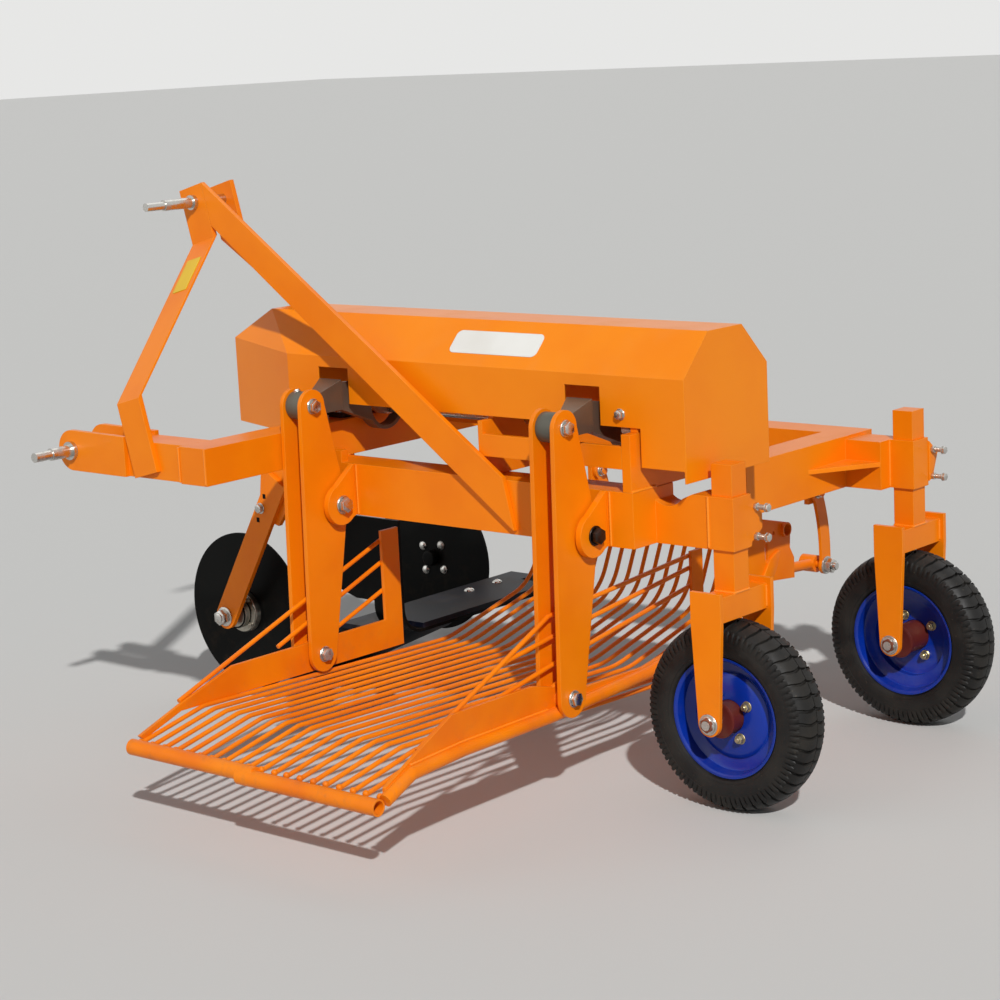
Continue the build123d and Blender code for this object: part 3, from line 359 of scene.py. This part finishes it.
def edges_rounded(piece, width, segments=2):
    apply_modifier(piece, "BEVEL", width=width * MM, segments=segments, limit_method="ANGLE",
                   angle_limit=radians(32))
    return piece


def smooth(piece, angle):
    choose(piece)
    bpy.ops.object.shade_smooth_by_angle(angle=radians(angle))


def joined(pieces):
    choose(*pieces)
    if len(pieces) > 1:
        bpy.ops.object.join()
    return bpy.context.object


def finished(piece, name, body, material, angle=40):
    """Names a piece, gives it its finish and its body."""
    piece.name = name
    piece.data.name = name
    piece.data.materials.clear()
    piece.data.materials.append(material)
    smooth(piece, angle)
    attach(piece, body)
    return piece


def copied(piece, matrix):
    """Another of the same piece, with its own mesh, moved by a matrix."""
    twin = piece.copy()
    twin.data = piece.data.copy()
    bpy.context.collection.objects.link(twin)
    twin.data.transform(matrix)
    return twin


def facing(place, direction, size, spin):
    """Takes a pattern that stands on the ground plane to a place, pointing along a direction."""
    turned = turn_to(direction).to_matrix().to_4x4()
    return Matrix.Translation(place) @ turned @ Matrix.Rotation(spin, 4, "Z") @ Matrix.Scale(size, 4)


def up_by(height):
    return UP * height * MM


# A 10 mm fastener, which the rows below make larger or smaller.
washer_radius, washer_thick = 11, 2
hex_radius, head_thick, nut_thick = 9.2, 6.8, 8.4
thread_radius, thread_length, thread_middle = 5, 15, 8


def washer():
    return edges_rounded(cylinder(up_by(washer_thick / 2), UP, washer_radius, washer_thick, 24), 0.5, 1)


def hexagon(thick):
    return edges_rounded(cylinder(up_by(washer_thick + thick / 2), UP, hex_radius, thick, 6), 0.8)


def hex_bolt():
    """A bolt's head on its washer."""
    under = washer()
    return joined([hexagon(head_thick), under])


def hex_nut():
    """A nut on its washer with the bolt's end standing through it."""
    under = washer()
    nut = hexagon(nut_thick)
    thread = cylinder(up_by(thread_middle), UP, thread_radius, thread_length, 16)
    return joined([nut, under, edges_rounded(thread, 0.7, 1)])


def dome_bolt():
    """A low round head, as on a coach bolt."""
    deselect()
    bpy.ops.mesh.primitive_uv_sphere_add(segments=20, ring_count=10, radius=washer_radius * MM)
    dome = bpy.context.object
    dome.scale = (1, 1, 0.6)
    settle(dome)
    bpy.ops.object.mode_set(mode="EDIT")
    bpy.ops.mesh.select_all(action="SELECT")
    bpy.ops.mesh.bisect(plane_co=(0, 0, 0), plane_no=UP, clear_inner=True, use_fill=True)
    bpy.ops.object.mode_set(mode="OBJECT")
    return dome


def clamp_bolt():
    """A set bolt standing out of its nut."""
    nut = edges_rounded(cylinder(up_by(4.5), UP, 10.5, 9, 6), 0.9)
    shank = cylinder(up_by(20), UP, 6, 34, 20)
    threads = [cylinder(up_by(11 + 2.2 * number), UP, 6.6, 1.1, 16) for number in range(9)]
    collar = edges_rounded(cylinder(up_by(33), UP, 11.5, 2, 24), 0.5, 1)
    head = edges_rounded(cylinder(up_by(38), UP, 10.8, 8, 6), 1.0)
    return joined([nut, shank, collar, head] + threads)


patterns = {"bolt": hex_bolt(), "nut": hex_nut(), "dome": dome_bolt(), "clamp": clamp_bolt()}


def fastened(name, body, table, material=plated_steel):
    """One piece of bolts: each row says kind, place, direction and size."""
    placed = [copied(patterns[kind], facing(place, direction, size, index * 0.7))
              for index, (kind, place, direction, size) in enumerate(table)]
    return finished(joined(placed), name, body, material, 35)


def bead(start, end, radius):
    """A weld laid in ripples from start to end."""
    start, end = Vector(start), Vector(end)
    run = end - start
    along_run = run.normalized()
    cuts = max(3, int(run.length / (3.0 * MM)))
    weld = cylinder((start + end) / 2, run, radius, run.length / MM, 8)
    pick_edges(weld, lambda one, two: abs((one - two).normalized().dot(along_run)) > 0.99)
    bpy.ops.mesh.subdivide(number_cuts=cuts)
    bpy.ops.object.mode_set(mode="OBJECT")
    for vertex in weld.data.vertices:
        along = (vertex.co - start).dot(along_run)
        axis_point = start + along_run * along
        ripple = 0.86 + 0.2 * abs(sin(along / (4.2 * MM) * pi)) + 0.06 * sin(along * 910)
        vertex.co = axis_point + (vertex.co - axis_point) * ripple
    return weld


def welded(name, body, runs, radius):
    beads = [bead(at(*start), at(*end), radius) for start, end in runs]
    return finished(joined(beads), name, body, weld_metal, 60)


def drawn(name, points, edges, faces):
    """A mesh from its points in metres, chosen and ready for edit mode."""
    mesh = bpy.data.meshes.new(name)
    mesh.from_pydata(points, edges, faces)
    piece = bpy.data.objects.new(name, mesh)
    bpy.context.collection.objects.link(piece)
    choose(piece)
    return piece


def outward_faces():
    bpy.ops.mesh.select_all(action="SELECT")
    bpy.ops.mesh.normals_make_consistent(inside=False)
    bpy.ops.object.mode_set(mode="OBJECT")


def flat_shape(outline, thick, origin, first, second):
    """A plate cut to an outline of (first, second) from an origin, thickened both ways."""
    points = [origin + (first * one + second * two) * MM for one, two in outline]
    plate = drawn("outline", points, [], [tuple(range(len(points)))])
    apply_modifier(plate, "SOLIDIFY", thickness=thick * MM, offset=0)
    return edges_rounded(plate, 0.9)


def plate_on(centre, along, upward, length, width, corner, thick):
    """A thin plate with round corners."""
    plate = slab((0, 0, 0), (length, width, thick))
    pick_edges(plate, lambda one, two: abs(one.z - two.z) > thick * MM / 2)
    bpy.ops.mesh.bevel(offset=corner * MM, segments=6, affect="EDGES")
    bpy.ops.object.mode_set(mode="OBJECT")
    turned = Matrix((along, upward, along.cross(upward))).transposed().to_4x4()
    plate.data.transform(Matrix.Translation(centre) @ turned)
    return plate


def spun(profile, centre):
    """A ring turned about the wheel's axle from a closed profile of (across, radius)."""
    points = [(across * MM, radius * MM, 0) for across, radius in profile]
    ring = drawn("ring", points, [(index, (index + 1) % len(points)) for index in range(len(points))], [])
    bpy.ops.object.mode_set(mode="EDIT")
    bpy.ops.mesh.select_all(action="SELECT")
    bpy.ops.mesh.spin(steps=96, angle=2 * pi, center=(0, 0, 0), axis=ACROSS)
    bpy.ops.mesh.select_all(action="SELECT")
    bpy.ops.mesh.remove_doubles(threshold=1e-5)
    outward_faces()
    ring.data.transform(Matrix.Translation(centre))
    return ring


def round_the_axle(centre, radius, first_turn):
    """Four places on a bolt circle about an axle that runs across."""
    turns = [radians(first_turn + 90 * number) for number in range(4)]
    return [centre + Vector((0, cos(turn), sin(turn))) * radius * MM for turn in turns]


# ------------------------------------------------------------------ wheels
tread_bars = 44
tyre_profile = [(-38.3, 122.6), (-38.3, 127.8), (-45, 131), (-49, 140), (-50, 152), (-49, 164), (-46, 174),
                (-41, 182), (-33, 188), (-20, 192), (0, 193.5), (20, 192), (33, 188), (41, 182), (46, 174),
                (49, 164), (50, 152), (49, 140), (45, 131), (38.3, 127.8), (38.3, 122.6)]
rim_profile = [(-42, 126.6), (-41, 127), (-39.4, 126), (-39, 122.2), (-30, 121.6), (-16, 121.4), (16, 121.4),
               (30, 121.6), (39, 122.2), (39.4, 126), (41, 127), (42, 126.6), (41.5, 122), (39, 119),
               (31, 116.5), (18, 115), (15, 110), (12, 96), (10, 90), (-10, 90), (-12, 96), (-15, 110),
               (-18, 115), (-31, 116.5), (-39, 119), (-41.5, 122)]
# stations along a rib: place across, top radius, drift round the tyre
crown_to_shoulder = [(0.9, 199.4, 0.0), (9, 199.3, 2.6), (18, 198.4, 4.0), (27, 196.0, 2.8), (35, 191.8, 0.0),
                     (41.5, 186.6, -2.0), (45.4, 181.0, -2.6)]
shoulder_to_wall = [(44.2, 187.0, 0.0), (47.4, 180.5, 0.0), (49.2, 172.0, 0.0), (49.7, 167.0, 0.0)]
wall_rings = [(48.8, 163, 0.9), (47.4, 137.5, 1.0)]     # place across, radius, thickness
dish_middle, dish_half, dish_inside, dish_flat = 18, 3, 35, 78
dish_steps = [(4, 86), (8, 91)]                          # step inwards, radius
rim_bolt_circle = 51
# place out from the wheel's middle, radius, length, sides, rounding, segments
axle_washers = [(95.6, 22, 3, 40, 0.8, 1), (99, 18.5, 4, 36, 1.4, 2)]
axle_nut = [(100.9, 16.4, 6, 6, 1.2, 2)]
axle_end = [(102.3, 10.6, 5.4, 24, 1.4, 2)]
hub_lip = [(57, 37.5, 5, 48, 1.4, 2)]


def rubber_bar(centre, turn, side, stations, half_width, depth):
    """A rib across the tread, narrower at its top than at its base."""
    points, faces = [], []
    for across, top, drift in stations:
        narrow = half_width * top / tyre_radius
        base = top - depth
        corners = ((-narrow - 0.9, base), (-narrow + 1.2, top), (narrow - 1.2, top), (narrow + 0.9, base))
        for ahead, radius in corners:
            lean = (drift + ahead) / top + turn
            points.append(centre + Vector((side * across, radius * cos(lean), radius * sin(lean))) * MM)
    for ring in range(len(stations) - 1):
        for corner in range(4):
            one = ring * 4 + corner
            two = ring * 4 + (corner + 1) % 4
            faces.append((one, two, two + 4, one + 4))
    last = (len(stations) - 1) * 4
    faces += [(3, 2, 1, 0), (last, last + 1, last + 2, last + 3)]
    return points, faces


def tread(centre):
    """Staggered bars from the crown to the shoulders, and twice as many small ribs below them."""
    points, faces = [], []
    ribs = [(number, tread_bars, crown_to_shoulder, 11.9, 8.0) for number in range(tread_bars)]
    ribs += [(number + 0.25, 2 * tread_bars, shoulder_to_wall, 4.4, 4.0) for number in range(2 * tread_bars)]
    for number, count, stations, half_width, depth in ribs:
        for side in (-1, 1):
            turn = 2 * pi * (number + (0.12 if side > 0 else 0.0)) / count
            new_points, new_faces = rubber_bar(centre, turn, side, stations, half_width, depth)
            faces += [tuple(index + len(points) for index in face) for face in new_faces]
            points += new_points
    bars = drawn("tread", points, [], faces)
    bpy.ops.object.mode_set(mode="EDIT")
    outward_faces()
    return bars


def lathed(place, radius, length, sides, width, segments=2):
    """A turned piece on an axle that runs across, its edges rounded by a width."""
    return edges_rounded(cylinder(place, ACROSS, radius, length, sides), width, segments)


def both_ends(centre, table):
    """Turned pieces on the axle, the same at both sides of the wheel."""
    return joined([lathed(centre + ACROSS * wall * out * MM, *shape)
                   for wall in (-1, 1) for out, *shape in table])


for side, (right, ahead), outward in (("left", left_post, -1), ("right", right_post, 1)):
    body = f"{side}_wheel"
    centre = at(right, ahead, tyre_radius)
    carcass = spun(tyre_profile, centre)
    rings = [hoop(centre + ACROSS * wall * across * MM, 90, radius, thick, 96)
             for across, radius, thick in wall_rings for wall in (-1, 1)]
    tyre = finished(joined([carcass, tread(centre)] + rings), f"{side}_tyre_with_tread", body, tyre_rubber,
                    34)
    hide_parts(f"{side}_tyre")

    barrel = spun(rim_profile, centre)
    dish_at = outward * dish_middle
    near_face = [(dish_at - outward * step - dish_half, radius) for step, radius in dish_steps]
    far_face = [(dish_at - outward * step + dish_half, radius) for step, radius in reversed(dish_steps)]
    dish = spun([(dish_at - dish_half, dish_inside), (dish_at - dish_half, dish_flat)] + near_face + far_face
                + [(dish_at + dish_half, dish_flat), (dish_at + dish_half, dish_inside)], centre)
    rim = finished(joined([barrel, dish]), f"{side}_pressed_rim", body, rim_paint, 32)
    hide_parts(f"{side}_rim")

    bolt_rows = []
    for place in round_the_axle(centre, rim_bolt_circle, 59):
        bolt_rows.append(("nut", place + ACROSS * (dish_at - dish_half) * MM, -ACROSS, 1.05))
        bolt_rows.append(("bolt", place + ACROSS * (dish_at + 3 * dish_half) * MM, ACROSS, 1.05))
    fastened(f"{side}_rim_bolts", body, bolt_rows, brass_bolts)

    finished(both_ends(centre, hub_lip), f"{side}_hub_lips", body, hub_paint)
    finished(both_ends(centre, axle_washers), f"{side}_axle_washers", "frame", plated_steel)
    finished(both_ends(centre, axle_nut), f"{side}_axle_nuts", "frame", rusty_nuts)
    # The axle ends are flat discs in near-black: painted shade for the hollow ends.
    finished(both_ends(centre, axle_end), f"{side}_axle_ends", "frame", axle_end_hole_shade)

# ------------------------------------------------------------------ clamp bolts beside the post sleeves
clamp_places = [(45, -31), (right_post[0] + 44, right_post[1] - 34)]
clamp_heights = (566, 627)
fastened("sleeve_clamp_bolts", "frame", [("clamp", at(right, ahead, up), -ALONG, 0.82)
                                         for right, ahead in clamp_places for up in clamp_heights])
lug_outline = [(0, 0), (14, 8), (36, 62), (0, 92)]
right_lug = flat_shape(lug_outline, 9, at(758, -4.5, 556), ACROSS, UP)
finished(right_lug, "right_clamp_lug", "frame", orange_paint)

# ------------------------------------------------------------------ rocker pins and rod eyes
rocker_half, pivot_half = 32.5, 52.5
bush_radius, bush_length = 31.2, 42


def pin_rows(place, middle, half, head_size, nut_size):
    """A pin along the machine: its head at the back and its nut in front, half a length from the middle."""
    right, up = place
    return [("bolt", at(right, middle - half, up), -ALONG, head_size),
            ("nut", at(right, middle + half, up), ALONG, nut_size)]


for body, rocker_ahead in (("front_rocker_arm", front_rocker_ahead), ("rear_rocker_arm", rear_rocker_ahead)):
    fastened(f"{body}_pins", body, pin_rows(rod_eye, rocker_ahead, rocker_half, 1.6, 1.5)
             + pin_rows(sieve_pin, rocker_ahead, rocker_half, 1.6, 1.5))
for name, middle, finish in (("front_pivot_nuts", front_rocker_ahead, plated_steel),
                             ("rear_pivot_nuts", rear_rocker_ahead, dark_bolts)):
    fastened(name, "frame", pin_rows(rocker_pivot, middle, pivot_half, 1.9, 1.9), finish)

for body, rocker_ahead in (("front_link", front_rocker_ahead), ("rear_link", rear_rocker_ahead)):
    sleeve = cylinder(at(rod_eye[0], rocker_ahead, rod_eye[1]), ALONG, bush_radius, bush_length, 48)
    finished(edges_rounded(sleeve, 1.2), f"{body}_bush", body, bush_grey)
grease_place = at(rod_eye[0] - 3, front_rocker_ahead + 9, rod_eye[1] + 29)
fastened("front_link_grease_fitting", "front_link", [("bolt", grease_place, UP + ALONG * 0.4, 0.75)])

# ------------------------------------------------------------------ coulter arms and discs
arm_thick = 24.6
spare_holes = [(1330, 541), (1356, 482)]                 # ahead, up
# distance out from the arm's face, radius, length, sides, rounding
arm_end_stack = [(2, 24, 4, 36, 1), (13, 19, 18, 6, 1.6), (18, 12, 15.6, 28, 1.6)]
coulter_rows, hole_shade_plates, big_nuts = [], [], []
for arm_face, inward in ((-26, 1), (806, -1)):
    coulter_rows.append(("bolt", at(arm_face, *arm_bolt), -ACROSS * inward, 1.2))
    coulter_rows.append(("nut", at(arm_face + inward * arm_thick, *arm_bolt), ACROSS * inward, 1.0))
    # Each spare hole is a thin near-black plate on the arm's face: painted shade where the real arm has an
    # open square hole.
    hole_shade_plates += [slab(at(arm_face - inward * 0.2, ahead, up), (1.2, 9, 11)) for ahead, up in spare_holes]
    big_nuts += [lathed(at(arm_face - inward * out, *coulter_axle), *shape) for out, *shape in arm_end_stack]
fastened("coulter_arm_bolts", "frame", coulter_rows)
finished(joined(hole_shade_plates), "coulter_arm_hole_shade", "frame", hole_shade_black)
finished(joined(big_nuts), "coulter_axle_nuts", "frame", plated_steel)

disc_half = 2.5
first_spoke, disc_bolt_circle, hub_nut_circle = 39, 46, 43
# distance from the disc's middle, radius, length, sides, rounding, segments
disc_cap = (13.6, 21, 22, 40, 4, 4)
hub_cup, hub_flange = (35.5, 37, 22, 56, 7, 4), (14, 51, 21, 64, 4, 4)
hub_flange_back = 24.5


def on_the_disc(disc_right, way, row):
    out, *shape = row
    return lathed(at(disc_right + way * out, *coulter_axle), *shape)


for side, disc_right, inward in (("left", 50, 1), ("right", 730, -1)):
    body = f"{side}_coulter"
    disc_bolts = [("dome", place + ACROSS * inward * disc_half * MM, ACROSS * inward, 1.1)
                  for place in round_the_axle(at(disc_right, *coulter_axle), disc_bolt_circle, first_spoke)]
    fastened(f"{side}_disc_bolts", body, disc_bolts)
    finished(on_the_disc(disc_right, inward, disc_cap), f"{side}_disc_cap", body, black_paint)
    hub_parts = [on_the_disc(disc_right, -inward, row) for row in (hub_cup, hub_flange)]
    nut_places = round_the_axle(at(disc_right - inward * hub_flange_back, *coulter_axle), hub_nut_circle,
                                first_spoke)
    hub_parts += [copied(patterns["nut"], facing(place, -ACROSS * inward, 0.62, number))
                  for number, place in enumerate(nut_places)]
    finished(joined(hub_parts), f"{side}_disc_hub", body, cast_steel)

# ------------------------------------------------------------------ bearing, share and hanger bolts
shaft_right, shaft_up = drive_shaft
foot_bolt_half, foot_bolt = 56, (1081, 757.5)            # each side of the shaft; ahead, up
flange_bolt_circle, flange_face = 34, 592.2
hood_bolt = (-80, 207, 818)
share_bolt, share_bolt_rights = (1140, 231.5), (470, 576)    # ahead, up
hanger_faces = {"front_hanger_strip": 896, "rear_hanger_strip": 258}
lower_right, lower_up = 736, 339
upper_right, upper_up = 708, 516
bearing_rows = [("bolt", at(shaft_right + sign * foot_bolt_half, *foot_bolt), UP, 1.2) for sign in (-1, 1)]
for turn in (radians(45 + 90 * number) for number in range(4)):
    bearing_rows.append(("bolt", at(shaft_right + flange_bolt_circle * cos(turn), flange_face,
                                    shaft_up + flange_bolt_circle * sin(turn)), ALONG, 0.8))
bearing_rows.append(("bolt", at(*hood_bolt), -ACROSS, 1.1))
fastened("bearing_bolts", "frame", bearing_rows)
fastened("share_bolts", "frame", [("dome", at(right, *share_bolt), UP, 1.2) for right in share_bolt_rights])
for body, ahead in hanger_faces.items():
    fastened(f"{body}_bolts", body, [("nut", at(lower_right, ahead, lower_up), -ALONG, 1.9),
                                     ("bolt", at(upper_right, ahead, upper_up), -ALONG, 1.3)])
gusset_outline = [(500, 342), (541, 334), (566, 372), (578, 404), (560, 400), (536, 388)]
gusset = flat_shape(gusset_outline, 6, at(0, 279, 0), ACROSS, UP)
finished(gusset, "rear_side_gusset", "sieve", sieve_paint)

# ------------------------------------------------------------------ blank plates
plate_thick, plate_proud = 1.4, 0.5 * MM
hood_plate_size, mast_plate_size = (244, 60, 14), (98, 48, 3)    # length, width, corner
slope = (at(6, 0, 985) - at(-80, 0, 897)).normalized()
slope_out = Vector((-slope.z, 0, slope.x))
hood_plate = plate_on(at(-37, 568, 941) + slope_out * plate_proud, -ALONG, slope, *hood_plate_size,
                      plate_thick)
finished(hood_plate, "blank_hood_plate", "frame", white_plate, angle=30)

mast_up = Vector((0, sin(mast_lean), cos(mast_lean)))
leg_foot = at(-462, 1242, 690) + mast_up * 150 * MM
leg_head = at(-131.5, 1242, 690) + mast_up * 479 * MM
leg_along = (leg_head - leg_foot).normalized()
leg_out = leg_along.cross(Vector((0, cos(mast_lean), -sin(mast_lean))))
if leg_out.x > 0:
    leg_out = -leg_out
leg_middle = leg_foot.lerp(leg_head, 0.78) + leg_out * plate_proud
leg_plate = plate_on(leg_middle, leg_along, leg_out.cross(leg_along), *mast_plate_size, plate_thick)
finished(leg_plate, "blank_mast_plate", "frame", yellow_plate, angle=30)

lynch_ring = hoop(at(-12, 1386.9, 1229.3), 84, 15, 1.8, 36)
finished(lynch_ring, "lynch_pin_rings", "frame", plated_steel)

# ------------------------------------------------------------------ welds
first_rod, last_rod, rod_count = 295.3, 980.7, 20
blobs = []
for number in range(rod_count):
    ahead = first_rod + (last_rod - first_rod) * number / (rod_count - 1)
    blobs.append(blob(at(-748, ahead + 1.2 * sin(number * 2.1), 177), 7.2))
    blobs.append(blob(at(600, ahead + 1.0 * cos(number * 1.7), 430), 6.6))
finished(joined(blobs), "sieve_rod_welds", "sieve", sieve_paint, 60)


def upright(right, ahead, low, high):
    return (right, ahead, low), (right, ahead, high)


def crosswise(left, right, ahead, up):
    return (left, ahead, up), (right, ahead, up)


def lengthwise(right, behind, ahead, up):
    return (right, behind, up), (right, ahead, up)


frame_top, fork_top, sleeve_half, post_half = 664.5, 461, 31, 25
post_places = (left_post, right_post)
weld_runs = [upright(right + edge, ahead + sleeve_half, 550, 654)
             for right, ahead in post_places for edge in (-sleeve_half, sleeve_half)]
for edges_ahead, second_part in (((1040, 1122), (685, 765)), ((165, 187), (272, 348))):
    for ahead in edges_ahead:
        weld_runs += [crosswise(left, right, ahead, frame_top) for left, right in ((-104, -24), second_part)]
weld_runs.append(upright(683, 228, 550, 662))
weld_runs += [upright(edge, 1123, 668, 743) for edge in (-450, -370, 290, 210)]
welded("frame_welds", "frame", weld_runs, 3.2)

fork_runs = []
for right, ahead in post_places:
    fork_runs += [upright(right + wall * 83, ahead + edge, 412, 456) for wall in (-1, 1) for edge in (-26, 26)]
    for edge in (-post_half, post_half):
        fork_runs.append(lengthwise(right + edge, ahead - post_half, ahead + post_half, fork_top))
        fork_runs.append(crosswise(right - post_half, right + post_half, ahead + edge, fork_top))
welded("fork_welds", "frame", fork_runs, 2.8)

seam_runs = [upright(-107, ahead, 549, 661) for ahead in (222, 940, 345)]
seam_runs += [upright(-463, ahead, 666, 743) for ahead in (1124, 1042)]
welded("seam_welds", "frame", seam_runs, 2.4)
welded("side_rail_weld", "sieve", [((-676, 281, 223), (-528, 281, 231)), ((-528, 281, 231), (-262, 281, 231))],
       2.8)

for pattern in patterns.values():
    bpy.data.objects.remove(pattern)


# ------------------------------------------------------------------ light, floor and camera
def sunlight(direction, strength, spread):
    lamp = bpy.data.lights.new("sun", "SUN")
    lamp.energy = strength
    lamp.angle = radians(spread)
    lamp_object = bpy.data.objects.new("sun", lamp)
    lamp_object.rotation_euler = turn_to(direction).to_euler()
    bpy.context.collection.objects.link(lamp_object)


sunlight((-1.09, -1.25, 1.28), 3.0, 1.5)
sunlight((-0.9, 0.6, 0.5), 0.4, 60.0)
sunlight((1.2, 0.4, 1.6), 0.2, 40.0)

# The world lights the machine faintly; the camera, gloss and glass see a pale room.
world = bpy.data.worlds.new("pale_room")
bpy.context.scene.world = world
room = Recipe(world)
room_nodes = room.tree.nodes
faint = room_nodes["Background"]
faint.inputs["Color"].default_value = (0.9, 0.95, 1.0, 1)
faint.inputs["Strength"].default_value = 0.2
pale = room.node("ShaderNodeBackground", Color=(0.8, 0.8, 0.79, 1), Strength=1.0)
rays = room_nodes.new("ShaderNodeLightPath")
by_camera, by_gloss, by_glass = (Wire(room, rays.outputs[f"Is {kind} Ray"])
                                 for kind in ("Camera", "Glossy", "Transmission"))
seen = by_camera.maths("MAXIMUM", by_camera, by_gloss)
seen = seen.maths("MAXIMUM", seen, by_glass)
both = room.node("ShaderNodeMixShader", sockets={0: seen, 1: Wire(room, faint.outputs[0]), 2: pale})
room.feed(room_nodes["World Output"].inputs["Surface"], both)

floor_size, floor_drop = 160, 0.5 * MM
deselect()
bpy.ops.mesh.primitive_plane_add(size=floor_size, location=(0, 0, -floor_drop))
floor = bpy.context.object
floor.name = "floor"
floor.data.materials.append(Finish("pale_floor").set(Base_Color=colour(206, 205, 202), Roughness=0.9,
                                                     Specular_IOR_Level=0.2))

camera = bpy.data.cameras.new("camera")
camera.lens = 87.147
camera.sensor_width = 36.0
camera_object = bpy.data.objects.new("camera", camera)
camera_place = at(-3896, -2802, 1581)
yaw, pitch, roll = radians(131.228), radians(10.816), radians(2.793)
looking = Vector((sin(yaw) * cos(pitch), -cos(yaw) * cos(pitch), -sin(pitch)))
level = Vector((-cos(yaw), -sin(yaw), 0))
down = looking.cross(level)
to_right = level * cos(roll) + down * sin(roll)
to_bottom = down * cos(roll) - level * sin(roll)
facing_camera = Matrix((to_right, -to_bottom, -looking)).transposed().to_4x4()
camera_object.matrix_world = Matrix.Translation(camera_place) @ facing_camera
bpy.context.collection.objects.link(camera_object)
bpy.context.scene.camera = camera_object
bpy.context.scene.view_settings.view_transform = "Standard"
